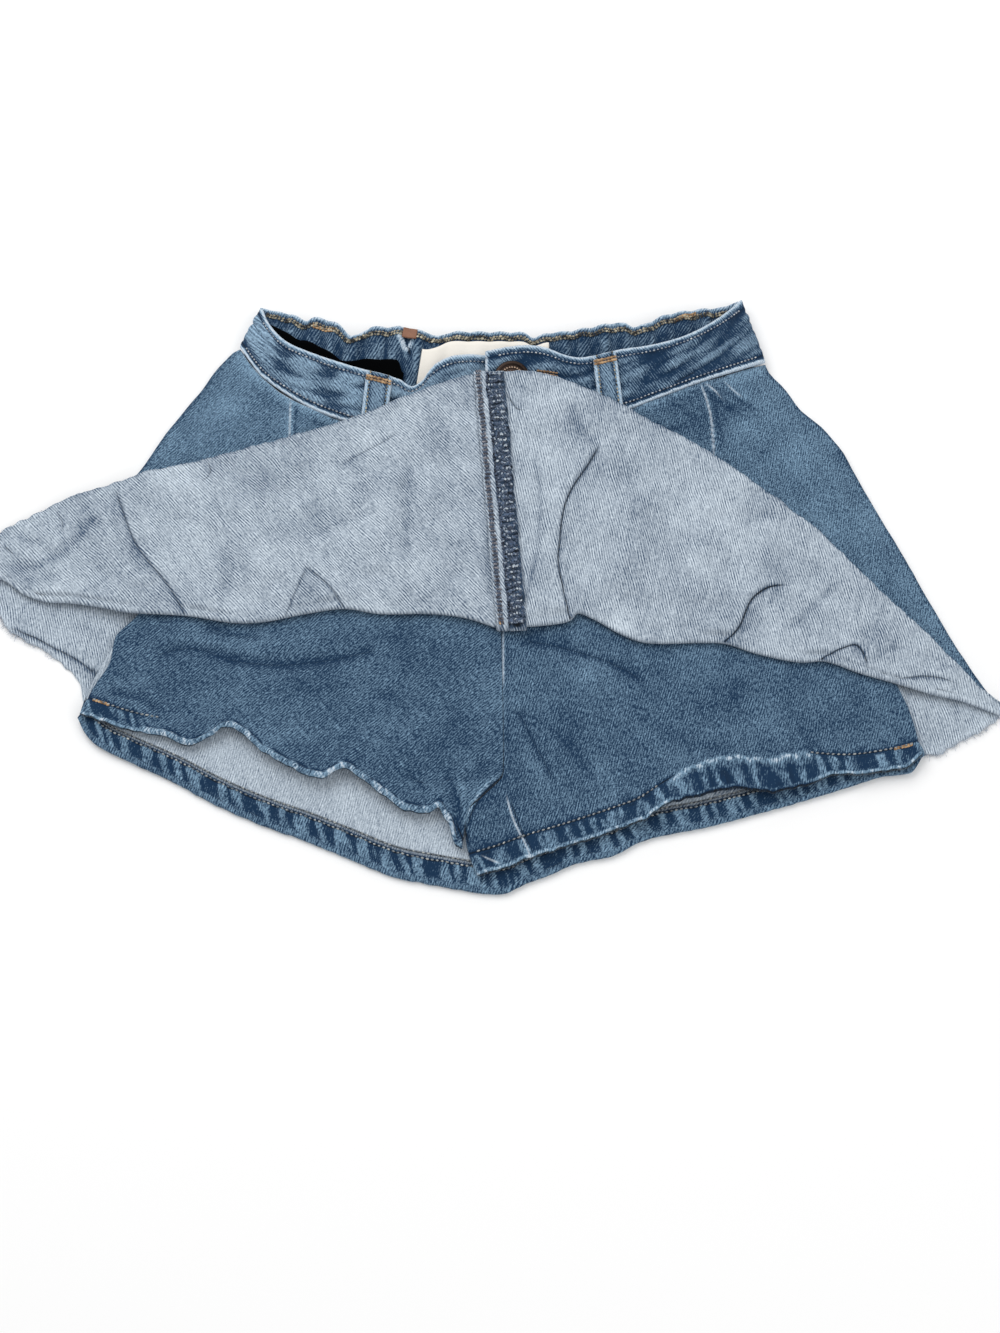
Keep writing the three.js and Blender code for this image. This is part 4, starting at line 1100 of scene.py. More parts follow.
class SKORT_OT_skirt_front(bpy.types.Operator):
    """Makes the two panels of the skirt front, folded up over themselves"""

    bl_idname = "skort.skirt_front"
    bl_label = "Skirt front"

    def execute(self, context):
        c = context.scene.skort_cloth
        half = c.thickness / MM / 2
        for name, grain in (("skirt_front_left", 17), ("skirt_front_right", -14)):
            surface = PANELS[name]
            us = spread((1, 236))
            ws = np.r_[spread((1, 48)), 1 + spread((1, 10))[1:], 2 + spread((0.94, 126), (1, 12))[1:]]
            u, w = np.meshgrid(us, ws)
            point = surface(u, w)
            rise, wear, dark, lines = skirt_relief(point, w)
            point[..., 2] += rise
            ragged = smooth((w - 2.95) / 0.05)
            edge = surface(u, np.full(u.shape, 3.0))[..., 0]
            point[..., 1] += ragged * (0.2 * ripple(edge, 0 * u, 7, 21) + 0.1 * ripple(edge, 0 * u, 2.6, 22))
            seam = smooth(1 - w / 0.035)
            away = np.abs(point[..., 0])
            # painted shade along the outer side edges of the under layer, where the cloth turns under
            dark = dark + 0.35 * (w < 1) * smooth((away - away.max(axis=1, keepdims=True) + 2.2) / 1.6)
            up_side = w < 1.5
            cloth = np.where(up_side[..., None], turned(point, -grain), turned(point, grain))
            piece = shell(name, point, half, half, cloth, ("denim_skirt", "denim_wrong", "denim_wrong"),
                          wear=np.where(up_side, wear + 0.5 * seam, 0), dark=np.where(up_side, dark, 0),
                          low_wear=np.where(up_side, 0, wear), low_dark=np.where(up_side, 0, dark),
                          rim_wear=0.1, lines=lines)
            keep(name, piece)
        return {"FINISHED"}


class SKORT_OT_skirt_back(bpy.types.Operator):
    """Makes the back of the skirt, which lies on the surface beneath"""

    bl_idname = "skort.skirt_back"
    bl_label = "Skirt back"

    def execute(self, context):
        half = context.scene.skort_cloth.thickness / MM / 2
        u, v = np.meshgrid(spread((1, 220)), spread((0.9, 70), (1, 14)))
        point = skirt_back_flat(u, v)
        flat, x, y = plan(point)
        # folds at the tips, with painted shade in their hollows and under their laps, and a painted shadow line
        # along the edge of the shorts
        r = Relief(x, y)
        r.lap(((-236, 20), (-227, 16.5), (-220, 13.5), (-213, 9.5), (-205, 5.5), (-198, 1), (-191, -5),
               (-184, -12)), 1.4, 7, dark=0.6, crease=0.7)
        r.lap(((-198, 0), (-192, -2), (-185, -6)), 0.6, 4, dark=0.5, crease=0.4)
        r.ridge(((-205, 22), (-196, 18), (-186, 12)), -0.6, 4, dark=0.22)
        r.ridge(((-173, 24), (-178, 15), (-181, 8), (-183, -2), (-187, -9)), -0.3, 1.8, dark=0.5, crease=0.8)
        r.ridge(((208, 6), (210, -14), (209, -34)), 0.7, 3, pale=0.15)
        r.ridge(((213, 4), (215, -14), (214, -32)), -0.2, 3, dark=0.25)
        free = smooth((np.abs(x) - 186) / 10) * smooth((40 - y) / 12)
        point[..., 2] = half + np.maximum(r.height + 0.35 * (ripple(x, y, 16, 31) + 1) * free, 0) * free
        ragged = smooth((v - 0.97) / 0.03)
        point[..., 1] += ragged * (0.5 * ripple(x, 0 * x, 6, 32) + 0.3 * ripple(x, 0 * x, 2.4, 33))
        finishes = ("denim_wrong", "denim_skirt", "denim_wrong")
        piece = shell("skirt_back", point, half, half, turned(flat, -14), finishes, wear=r.wear + 0.6 * ragged,
                      dark=r.dark, rim_wear=0.7, lines=r.lines)
        keep("skirt_back", piece)
        return {"FINISHED"}


def hem_marks(r, along, depth, seed, rim, rolled, fluted, rows):
    """A turned hem, depth millimetres from its free edge: rubbed swells and sunk stitch rows with painted shade
    in their grooves where it lies flat, a pale cord with a painted shadow beside it where it is rolled, and
    hollows with painted shade between pale ribs where it is fluted, with a painted shade line along the fluted
    free edge."""
    flat = (1 - rolled) * (1 - fluted)
    slant = along + 0.35 * depth
    jump = 2.4 * ripple(slant, 0 * slant, 24, seed, waves=8)
    swell = np.sin(2 * np.pi * (slant + jump) / 9.2)
    fine = ripple(slant, 0.3 * depth, 3.4, seed + 1)
    body = flat * smooth((depth - 1.2) / 1.0) * smooth((8.4 - depth) / 1.0)
    r.dark += body * (0.5 + 0.05 * depth) * smooth(0.42 - 1.5 * swell - 0.6 * fine)
    r.wear += body * 0.42 * smooth(0.9 * swell - 0.05 + 0.7 * fine)
    r.wear += flat * rim * smooth((1.5 - depth) / 0.5) * (0.8 + 0.2 * fine)
    # painted shade in the stitch grooves, with thin painted shade lines at the rows
    groove = flat * bell(depth, 8.9, 1.0)
    above = flat * smooth((depth - 9.8) / 0.6) * smooth((13.5 - depth) / 3.5)
    r.dark += (1.15 if len(rows) == 1 else 0.6) * groove + 0.25 * above * smooth(-swell - 0.1 + 0.3 * fine)
    r.wear += 0.2 * above * smooth(swell - 0.2)
    for row in rows:
        r.line("crease", depth - row, 0.85 * flat)
    cord = rolled * smooth((2.7 + 0.3 * fine - depth) / 0.5)
    twist = np.sin(2 * np.pi * (along + 0.8 * depth) / 1.9)
    shadow = rolled * bell(depth, 3.5, 0.9) * smooth(0.55 - swell - 0.4 * fine)
    r.wear += cord * (0.54 + 0.2 * twist + 0.2 * fine)
    r.dark += 0.95 * shadow
    r.height += 0.3 * swell * body - 0.35 * groove + flat * 0.35 * bell(depth, 0.7, 0.8)
    r.height += 1.4 * rolled * bell(depth, 1.6, 1.2) - 0.3 * shadow
    lean = along + 0.7 * depth + 0.5 * fine
    rib = np.cos(2 * np.pi * (lean - 109 + 2.2 * np.sin(along / 8) + 1.2 * np.sin(along / 3.1)) / 9.2)
    foot = 6.2 + 0.9 * rib + 0.8 * np.sin(along / 6)
    # fluted: painted shade in the hollows and along the free edge, pale rubbed crowns
    hollow = fluted * smooth((depth - 0.9) / 0.6) * smooth((foot - depth) / 1.4)
    crown = fluted * bell(depth - 7.9, 0.5 * rib, 1.1)
    r.dark += ((0.8 + 0.25 * np.sin(along / 5)) * hollow * smooth(0.5 + 1.1 * rib + 0.3 * fine)
               + 0.5 * fluted * smooth((0.8 - depth) / 0.4))
    r.wear += hollow * 0.4 * smooth(-0.2 - 1.1 * rib) + crown * (0.75 + 0.15 * fine)
    r.height += 0.9 * crown - 0.6 * hollow * (1 + rib) / 2


class SKORT_OT_shorts(bpy.types.Operator):
    """Makes the fronts and backs of both legs of the shorts, with turned hems"""

    bl_idname = "skort.shorts"
    bl_label = "Shorts"

    def execute(self, context):
        c = context.scene.skort_cloth
        half, hem = c.thickness / MM / 2, c.hem / MM
        start = 1 - hem / SHORTS_LENGTH
        legs = (("shorts_front_left", -21, True, 41), ("shorts_front_right", 10, True, 47),
                ("shorts_back_left", 12, False, 61), ("shorts_back_right", -10, False, 67))
        for name, grain, front, seed in legs:
            surface = SHORTS[name]
            u, v = np.meshgrid(spread((1, 210)), spread((0.5, 20), (0.9, 56), (0.975, 34), (1, 16)))
            point = surface(u, v)
            flat, x, y = plan(point)
            r = Relief(x, y)
            depth = (1 - v) * SHORTS_LENGTH
            band = smooth((v - start) / 0.004)
            if front:
                shorts_front_relief(r)
                r.height += 0.22 * ripple(x, y, 30, 42) + 0.1 * ripple(x, y, 9, 43)
            else:
                r.height += 0.16 * ripple(x, y, 24, 44) * smooth((0.93 - v) / 0.05)
            rolled = (name == "shorts_front_left") * smooth((x - ROLLED_FROM) / 8)
            fluted = (name == "shorts_front_right") * smooth((x - FLUTES[0]) / 8) * smooth((FLUTES[1] - x) / 8)
            hem_marks(r, x, depth, seed, 0.75 if front else 0.15, rolled, fluted,
                      HEM_ROWS_FRONT if front else HEM_ROWS_BACK)
            if front:  # the shade under the free edge
                r.line("crease", depth + 0.05, 0.9)
                point[..., 1] -= 6.5 * smooth((x - 74) / 24) * smooth((158 - x) / 20) * smooth(1 - depth / 8)
            point[..., 2] += np.where(depth < 14, np.maximum(r.height, -0.3), r.height)
            point[..., 1] += (0.25 if front else 0.1) * ripple(x, 0 * x, 7, seed + 3) * smooth((v - 0.97) / 0.03)
            if name == "shorts_front_left":  # the end of the inseam hangs lower than the hem
                point[..., 1] -= 9 * smooth((u - 0.965) / 0.02) * smooth((v - 0.93) / 0.06)
            if name.endswith("right"):  # the outer corner of the hem is rounded off
                round_off = smooth((u - 0.955) / 0.045) ** 2 * smooth((v - 0.93) / 0.07)
                point[..., 1] += (4 if front else 8) * round_off
            up, down = half, half + HEM_STEP * band
            finishes = ("denim_shorts", "denim_wrong", "denim_shorts")
            up_finish = None
            if name == "shorts_back_right":  # shade between the fluted hem and the one under it
                r.dark += 0.7 * smooth((depth - 10.4) / 0.5) * smooth((x - 94) / 16) * smooth((164 - x) / 8)
            if not front:
                up, down = down, up
                up_finish = np.where(depth < hem + 0.2, 2, 0)
                finishes = ("denim_inside", "denim_shorts", "denim_shorts")
            piece = shell(name, point, up, down, turned(flat, grain), finishes, wear=np.clip(r.wear, 0, 1),
                          dark=r.dark, low_wear=0.3 * band, rim_wear=0.1 + 0.6 * (v > 0.97) if front else 0.25,
                          up_finish=up_finish, lines=r.lines)
            keep(name, piece)
        return {"FINISHED"}


def shorts_front_relief(r):
    """Folds and rubbed seams of the shorts' fronts, with painted shade in the folds' hollows and under the crotch
    lap.
    """
    r.ridge(((-165, 3), (-153, 7), (-143, 7), (-132, 3), (-121, 0), (-99, -1), (-78, 2), (-56, 7)), -1.4, 3.6,
            dark=0.5, crease=0.25)
    r.ridge(((-150, 13), (-120, 9), (-80, 9)), 0.9, 5, pale=0.09)
    r.ridge(((-144, 20), (-128, 14), (-112, 12)), -0.9, 3.2, dark=0.36, crease=0.15)
    r.ridge(((-63, -16), (-41, -18)), -0.6, 3.5, dark=0.28)
    r.ridge(((-188, -14), (-170, -18), (-158, -26)), -0.9, 3, dark=0.4)
    r.ridge(((2, 12), (20, 10), (42, 4), (60, -4), (70, -12)), -1.1, 2.8, dark=0.5, crease=0.3)
    r.ridge(((6, 4), (22, 0), (44, -8), (58, -18)), 0.7, 4, pale=0.1)
    r.ridge(((4, -22), (10, -27), (14, -36), (21, -50), (26, -62)), -1.0, 2.4, dark=0.45, crease=0.25)
    r.ridge(((24, -30), (34, -44), (44, -62)), -0.7, 4, dark=0.28)
    r.ridge(((60, -20), (86, -40), (112, -46)), -0.5, 5, dark=0.2)
    r.dark += 0.05 * ripple(r.x, r.y, 38, 45) + 0.04 * ripple(r.x, r.y, 12, 46)
    # the centre seam, the crotch and the inseam
    r.ridge(((1.5, 20), (1.5, 5), (1.5, -14)), 0.4, 0.8, pale=0.35, crest=0.45)
    r.ridge(((1.5, -6), (1.6, -30), (2.2, -50)), 0.3, 0.9, pale=0.12)
    r.ridge(((3.4, 18), (3.4, -20), (3.6, -48)), -0.2, 1.0, dark=0.25)
    r.lap(((-16, -84), (-14, -75), (-11, -69), (-6, -62), (4, -54)), 0.9, 4, dark=0.6, pale=0.7, edge=0.6,
          crease=0.6)
    r.ridge(((-4, -48), (-12, -56), (-20, -60)), -0.6, 4, dark=0.3)
    r.ridge(((-28, -50), (-22, -62), (-17, -76)), -0.6, 2.2, dark=0.4)
    r.ridge(((-44, -54), (-32, -66)), -0.5, 2.5, dark=0.3)
    r.ridge(((-19, -56), (-17, -66), (-16, -77)), 0.5, 1.2, pale=0.25)
    r.ridge(((2.6, -64), (5, -74), (8, -82), (11, -88), (16, -101)), 0.7, 0.7, pale=0.35, crest=0.6)
    r.ridge(((4.4, -66), (7, -75), (10, -83), (13, -89), (15.6, -95)), -0.3, 0.9, dark=0.5, crease=0.6)
    r.ridge(((-9, -94), (-3, -97), (1, -98.4)), 0.5, 0.8, pale=0.3, crest=0.5)
    r.ridge(((-24, -74), (-20, -84)), 0.8, 1.6, pale=0.5, dark=0.1)
    r.ridge(((-22, -71), (-18, -77), (-15.5, -84), (-14, -92)), -0.5, 1.4, dark=0.7, crease=0.95)


class SKORT_OT_waistband(bpy.types.Operator):
    """Makes the lapped front waistband and the gathered back waistband"""

    bl_idname = "skort.waistband"
    bl_label = "Waistband"

    def execute(self, context):
        half = context.scene.skort_cloth.band / MM / 2
        fronts = (("waistband_front_left", band_left, 51, 0.0), ("waistband_front_right", band_right, 52, 0.62))
        for name, surface, seed, shade in fronts:
            u, v = np.meshgrid(spread((1, 200)), spread((0.12, 6), (0.88, 26), (1, 7)))
            point = surface(u, v)
            flat, x, y = plan(point)
            out = normals(point)
            along, deep = x, BAND_DEPTH * v
            slant = 0.5 * along + 0.4 * deep
            marks = 0.5 * ripple(slant, 0.8 * deep, 12, seed)
            marks = marks + 0.7 * ripple(0.22 * along + 0.1 * deep, deep + 0.2 * along, 5.4, seed + 5)
            inner = smooth((v - 0.12) / 0.08) * smooth((0.9 - v) / 0.08)
            lift = 0.45 * marks * inner + 0.1 * ripple(x, y, 5, seed + 9)
            point = point + out * lift[..., None]
            top, foot = smooth(1 - v / 0.075), smooth((v - 0.955) / 0.015)
            if name == "waistband_front_right":
                top = np.maximum(top, smooth(1 - u / 0.014))
            wear = 1.2 * top + 1.1 * foot + 0.32 * inner * smooth(0.7 * marks + 0.25 - 0.6 * shade)
            rows = bell(v, BAND_ROWS[0], 0.035) + bell(v, BAND_ROWS[1], 0.04)
            # painted shade: darker in the wrinkles' hollows, along the stitch rows and over the whole right band;
            # the crease lines below are thin painted shade lines at the rows
            dark = 0.62 * inner * smooth(0.05 - 0.7 * marks + 0.4 * shade) + 0.8 * rows + shade * 0.5
            r = Relief(x, y)
            r.line("crease", BAND_DEPTH * (v - BAND_ROWS[1]), 0.8)
            r.line("crease", BAND_DEPTH * (v - BAND_ROWS[0]), 0.5)
            piece = shell(name, point, half, half, turned(flat, 68), ("denim_band",), wear=np.clip(wear, 0, 1),
                          dark=dark, rim_wear=0.95, bulge=0.15, lines=r.lines)
            keep(name, piece)

        u, v = np.meshgrid(spread((1, GATHERS * 14)), spread((0.15, 8), (1, 22)))
        point = band_back(u, v)
        x, y = point[..., 0], point[..., 1]
        wave = np.cos(2 * np.pi * GATHERS * u + 1.1 * ripple(x, 0 * x, 26, 55))
        wave = wave + 0.5 * ripple(x, 0.15 * y, 4.5, 56)
        point[..., 2] += 0.35 * np.maximum(wave, 0) ** 2 * smooth(v / 0.1)
        r = Relief(x, y)
        r.lap(((-43.5, 160), (-46, 165), (-48.8, 171), (-51.5, 178)), 1.3, 5, dark=0.5, pale=0.5)
        r.ridge(((-51.7, 178), (-50.2, 174.4), (-49.2, 169.8), (-46.4, 166), (-44.6, 167.8), (-42.7, 172.3),
                 (-40.4, 176)), 1.0, 0.8, pale=1.1)
        point[..., 2] += r.height
        low = smooth((v - 0.2) / 0.1)
        # an even darker tone, with painted shade between the gathers, along the upper stitch row and under the
        # notch's lap
        dark = 0.4 + 0.35 * smooth(-wave) * low + 0.4 * bell(v, BAND_ROWS[0], 0.045) + r.dark
        wear = r.wear + 0.25 * smooth(wave - 0.2) * low + 1.1 * smooth(1 - v / 0.08) * (0.85 + 0.15 * wave)
        piece = shell("waistband_back", point, half, half, turned(point, 0), ("denim_band",),
                      wear=np.clip(wear, 0, 1), dark=dark, rim_wear=0.95, bulge=0.15)
        keep("waistband_back", piece)
        return {"FINISHED"}


TRIM_GAP = 0.35  # between the back waistband and what is sewn to it


def on_band_back(us, share_from, share_to, count, reach):
    """A grid of points over the back waistband, each column from one share of its depth to another."""
    t = np.linspace(0, 1, count + 1)[:, None]
    v = share_from[None] + t * (share_to - share_from[None])
    u = np.broadcast_to(us[None], v.shape)
    rows = band_back_plain(u, v)
    rows[..., 2] += GATHER_RISE * (1 + 0.35 * np.cos(2 * np.pi * GATHERS * u))
    return rows + normals(rows) * reach


class SKORT_OT_trim(bpy.types.Operator):
    """Makes the blank label, the blank patch and the flat black sheet over the lower back waistband"""

    bl_idname = "skort.trim"
    bl_label = "Label, patch and facing"

    def execute(self, context):
        c = context.scene.skort_cloth
        thick = c.trim / MM
        reach = c.band / MM / 2 + BAND_STEP + thick / 2 + TRIM_GAP
        facing, label = np.linspace(0.03, 0.32, 90), np.linspace(0.347, 0.595, 80)
        patch_us = np.linspace(0.302, 0.332, 12)
        facing_top = 0.3 + 0.26 * smooth((facing - 0.03) / 0.22) + 0.2 * smooth((facing - 0.3) / 0.02)
        label_top = 0.2 + 0.13 * smooth((0.39 - label) / 0.04)
        for name, made, us, top, foot, count in (
                ("facing", "facing_cloth", facing, facing_top, 0.97, 12),
                ("label", "label_cloth", label, label_top, 0.95, 12),
                ("patch", "patch_leather", patch_us, 0 * patch_us + 0.02, 0.17, 8)):
            rows = on_band_back(us, top, foot, count, reach)
            keep(name, shell(name, rows, thick / 2, thick / 2, turned(rows, 0), (made,), rim_wear=0))
        return {"FINISHED"}


LOOPS = {"belt_loop_left": (band_left, 0.445, 0.475, 0.073),
         "belt_loop_right": (band_right, 0.385, 0.388, 0.078)}


def loop_rows(name, across, along):
    """Points of a belt loop's middle surface."""
    surface, far_u, near_u, share = LOOPS[name]
    c = bpy.context.scene.skort_cloth
    t, s = np.meshgrid(along, across, indexing="ij")
    v = 0.03 + t * 0.95
    rows = surface(far_u + v * (near_u - far_u) + s * share, v)
    stand = 0.9 * np.sin(np.pi * t)
    return rows + normals(rows) * (c.band / MM / 2 + BAND_STEP + c.loop / MM / 2 + stand)[..., None]


class SKORT_OT_loops(bpy.types.Operator):
    """Makes the two belt loops at the front"""

    bl_idname = "skort.loops"
    bl_label = "Belt loops"

    def execute(self, context):
        half = context.scene.skort_cloth.loop / MM / 2
        for name in LOOPS:
            across, along = np.linspace(0, 1, 17), np.linspace(0, 1, 41)
            rows = loop_rows(name, across, along)
            s = np.broadcast_to(across[None], rows.shape[:2])
            edge = smooth((np.abs(s - 0.5) - 0.32) / 0.15)
            # painted shade round the bar tack near the top, and darker lines just inside the edge rows
            dark = 0.6 * bell(np.abs(s - 0.5), 0.3, 0.07) + 1.1 * bell(along[:, None], 0.1, 0.06)
            piece = shell(name, rows, half, half, turned(rows, 60), ("denim_band",), wear=0.7 * edge + 0.15,
                          dark=dark)
            keep(name, piece)
        return {"FINISHED"}


BUTTON_PROFILE = ((0, 0), (6.4, 0), (7.6, 0.15), (8.5, 0.6), (8.95, 1.25), (9.0, 1.7), (8.75, 2.4), (8.3, 2.85),
                  (7.8, 3.05), (7.3, 2.95), (6.9, 2.6), (6.6, 2.35), (6.0, 2.3), (4.4, 2.35), (3.6, 2.4),
                  (3.2, 2.7), (2.8, 3.0), (2.2, 3.15), (1.4, 3.3), (0.7, 3.38), (0, 3.4))
BUTTON_SIDES, BEADS, BEAD_SIDES = 64, 26, 6
BUTTON_AT = 0.09, 0.56  # shares of the right waistband's width and depth
BEAD_RING = 5.4  # radius of the ring of beads
BEAD_PROFILE = ((0.62, 2.6), (0.4, 2.95), (0.55, 2.25))


def circle(radius, height, sides, centre=(0, 0)):
    angle = np.linspace(0, 2 * np.pi, sides, endpoint=False)
    return [(centre[0] + radius * math.cos(a), centre[1] + radius * math.sin(a), height) for a in angle]


def between(low, high, sides):
    """The faces between two rings of points, each given by the number of its first point."""
    return [(low + i, low + (i + 1) % sides, high + (i + 1) % sides, high + i) for i in range(sides)]


class SKORT_OT_button(bpy.types.Operator):
    """Makes the waist button, a shank button with a turned rim and a ring of beads"""

    bl_idname = "skort.button"
    bl_label = "Button"

    def execute(self, context):
        (u, v), step = BUTTON_AT, 0.002
        here, above, below, left, right = band_right([u, u, u, u - step, u + step], [v, v - step, v + step, v, v])
        out = unit(np.cross(below - above, right - left))
        seat = metres(here + out * (context.scene.skort_cloth.band / MM / 2 + BAND_STEP))
        turn = Vector(out).to_track_quat("Z", "Y").to_matrix()
        points, faces = [], []
        for radius, height in BUTTON_PROFILE[1:-1]:
            points += circle(radius, height, BUTTON_SIDES)
        foot, last = len(points), len(points) - BUTTON_SIDES
        points += [(0, 0, BUTTON_PROFILE[0][1]), (0, 0, BUTTON_PROFILE[-1][1])]
        for start in range(0, last, BUTTON_SIDES):
            faces += between(start, start + BUTTON_SIDES, BUTTON_SIDES)
        faces += [(foot, (i + 1) % BUTTON_SIDES, i) for i in range(BUTTON_SIDES)]
        faces += [(foot + 1, last + i, last + (i + 1) % BUTTON_SIDES) for i in range(BUTTON_SIDES)]
        body_faces = len(faces)
        for k in range(BEADS):
            a = 2 * np.pi * k / BEADS
            start = len(points)
            for radius, height in BEAD_PROFILE:
                points += circle(radius, height, BEAD_SIDES, (BEAD_RING * math.cos(a), BEAD_RING * math.sin(a)))
            crown, foot = start + BEAD_SIDES, start + 2 * BEAD_SIDES
            for pair in zip(between(start, crown, BEAD_SIDES), between(foot, start, BEAD_SIDES)):
                faces += pair
            faces += [tuple(range(crown, foot)), tuple(range(foot + BEAD_SIDES - 1, foot - 1, -1))]
        placed = np.array([turn @ (Vector(p) * MM) + Vector(seat) for p in points])
        worn = [int(k >= body_faces) for k in range(len(faces))]
        piece = mesh_object("button", placed, faces, ("button_metal", "bead_metal"), worn)
        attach(piece, "root")
        keep("button", piece)
        return {"FINISHED"}


def allowance_width(w):
    """The allowance's width at row w of its panel, as a share of the panel's width."""
    return 13.8 / (252 + np.clip(w - 2, 0, 1) * 48)


class SKORT_OT_allowance(bpy.types.Operator):
    """Makes the overlocked allowance of the centre seam"""

    bl_idname = "skort.allowance"
    bl_label = "Centre seam allowance"

    def execute(self, context):
        c = context.scene.skort_cloth
        thick = c.allowance / MM
        ws = np.r_[1 + spread((1, 14))[7:], 2 + spread((1, 100))[1:]]
        t = np.linspace(0, 1, 15)
        u = t[None] * allowance_width(ws)[:, None]
        w = np.broadcast_to(ws[:, None], u.shape)
        point = PANELS["skirt_front_right"](u, w)
        rise, *_ = skirt_relief(point, w)
        point[..., 2] += rise
        point = point - normals(point) * (c.thickness / MM / 2 + BAND_STEP + thick / 2)
        across = np.broadcast_to(t[None], u.shape)
        groove = bell(across, 0.4, 0.05)
        bumps = ripple(point[..., 1], 4 * across, 2.2, 71)
        point = point - normals(point) * (0.3 * across - 0.4 * groove + 0.12 * bumps)[..., None]
        inner = smooth((across - 0.38) / 0.04)
        # painted shade in the groove; the overlocked half and the band under the left rows are darker
        dark = 0.5 * groove + (1.1 + 0.15 * bumps) * inner * smooth((w - 1.5) / 0.2)
        dark = dark + 0.9 * bell(across, 0.13, 0.1)
        piece = shell("skirt_front_allowance", point, thick / 2, thick / 2, turned(point, 8),
                      ("denim_wrong", "denim_wrong", "denim_wrong"), low_wear=0.3 * (1 - inner), low_dark=dark,
                      rim_wear=0)
        flip = point - normals(point) * thick / 2
        keep_surface("allowance", flip, cells(flip.shape[:2])[1])
        keep("skirt_front_allowance", piece)
        return {"FINISHED"}


def run(surface, low, high, share, count=220):
    """Points of a surface from one share of its width to another, at one share of its length."""
    u = np.linspace(low, high, count)
    return surface(u, np.full(count, float(share)))


class SKORT_OT_stitching(bpy.types.Operator):
    """Sews the topstitching, the bar tacks and the overlocked edge"""

    bl_idname = "skort.stitching"
    bl_label = "Stitching"

    def execute(self, context):
        hem_row = 1 - 9 / SHORTS_LENGTH  # as a share of the leg's length
        left, right = "waistband_front_left", "waistband_front_right"
        band_rows = [dropped(name, run(surface, low, high, deep), 0.12) for name, surface, low, high, deep in (
            (left, band_left, 0.05, 0.86, BAND_ROWS[0]), (right, band_right, 0.05, 0.97, BAND_ROWS[0]),
            (left, band_left, 0.03, 0.9, BAND_ROWS[1]), (right, band_right, 0.05, 0.97, BAND_ROWS[1]))]
        stitches("stitches_waistband", band_rows, "pale_thread", pitch=2.0, share=0.6, radius=0.32)
        fronts = (("shorts_front_left", 0.015, 0.17), ("shorts_front_right", 0.02, 0.42),
                  ("shorts_front_right", 0.77, 0.985))
        hems = [dropped(name, run(SHORTS[name], low, high, hem_row), 0.35) for name, low, high in fronts]
        stitches("stitches_hems", hems, "dash_thread", pitch=2.4, share=0.7, radius=0.34, turn=0.25,
                 jitter=0.25)
        backs = [dropped(name, run(SHORTS[name], 0.02, 0.985, hem_row + k), 0.15)
                 for name in ("shorts_back_left", "shorts_back_right") for k in (-0.005, 0.0055)]
        stitches("stitches_hems_back", backs, "dash_thread", pitch=2.3, share=0.62, radius=0.36, jitter=0.15)
        for name, deep, thread_name in (("stitches_waistband_back", 0.105, "gold_thread"),
                                        ("stitches_waistband_back_lower", 0.145, "tan_thread")):
            back = dropped("waistband_back", run(band_back, 0.02, 0.98, deep, 400), 0.4)
            stitches(name, [back], thread_name, pitch=1.8, share=1.0, radius=0.48, turn=0.3, jitter=0.5)

        for name, thread_name, shares, sway, seed, seed_step, values in (
                ("stitches_seam", "seam_thread", (0.07, 0.13, 0.19), 0.012, 81, 0, (2.1, 0.8, 0.36, 0.6, 0.6)),
                ("stitches_seam_dark", "dark_thread", (0.1, 0.16, 0.42), 0.01, 82, 0,
                 (1.6, 0.9, 0.36, -0.7, 0.4)),
                ("overlock_pale", "overlock_thread", (0.5, 0.6, 0.7, 0.8, 0.88), 0.03, 83, 1,
                 (3.0, 0.6, 0.4, 0.9, 1.5)),
                ("overlock_dark", "dark_thread", (0.46, 0.56, 0.66, 0.76, 0.9), 0.03, 87, 1,
                 (2.3, 0.9, 0.42, -0.9, 1.2))):
            paths = [seam_path(share, sway, seed + k * seed_step) for k, share in enumerate(shares)]
            stitches(name, paths, thread_name, *values)

        edges, tacks = [], []
        for name in LOOPS:
            for across in (0.14, 0.86):
                rows = loop_rows(name, np.array([across - 0.02, across, across + 0.02]),
                                 np.linspace(0.01, 0.99, 60))
                edges.append(dropped(name, rows[:, 1], 0.1))
            for deep in (0.1, 0.155):
                rows = loop_rows(name, np.linspace(0.06, 0.94, 40), np.array([deep - 0.01, deep, deep + 0.01]))
                tacks.append(dropped(name, rows[1], 0.2))
        stitches("tacks_loops", tacks, "orange_thread", pitch=1.6, share=1.4, radius=0.55, turn=0.1,
                 jitter=0.12)
        stitches("stitches_loops", edges, "tan_thread", pitch=1.8, share=0.8, radius=0.32)
        tacks = [dropped(right, ((19, 150.6 - k), (24, 150.2 - k), (28, 149.4 - k)), 0.5) for k in (0, 1.2)]
        for path in (((-93, 178.6), (-88, 177.4), (-83, 176.4)), ((88, 182.6), (93, 184.4), (98, 186))):
            tacks += [dropped("waistband_back", [(x, y - k) for x, y in path], 0.3) for k in (0, 1.1)]
        for name, low, high in (("shorts_front_left", 0.015, 0.05), ("shorts_front_right", 0.95, 0.985)):
            tacks += [dropped(name, run(SHORTS[name], low, high, hem_row + k, 12), 0.2) for k in (0, 0.003)]
        tacks.append(tuple(part[-7:] for part in seam_path(0.1)))
        stitches("tacks", tacks, "orange_thread", pitch=1.4, share=1.3, radius=0.42, turn=0.15, jitter=0.2)
        return {"FINISHED"}


def seam_path(share, sway=0.0, seed=0):
    """A path down the centre seam's allowance, at a share of its width, that sways a little."""
    w = np.linspace(1.75, 3, 260)
    across = share + sway * ripple(w * 130, 0 * w, 7, seed)
    line = PANELS["skirt_front_right"](across * allowance_width(w), w)
    return dropped("allowance", line[::-1], 0.1)


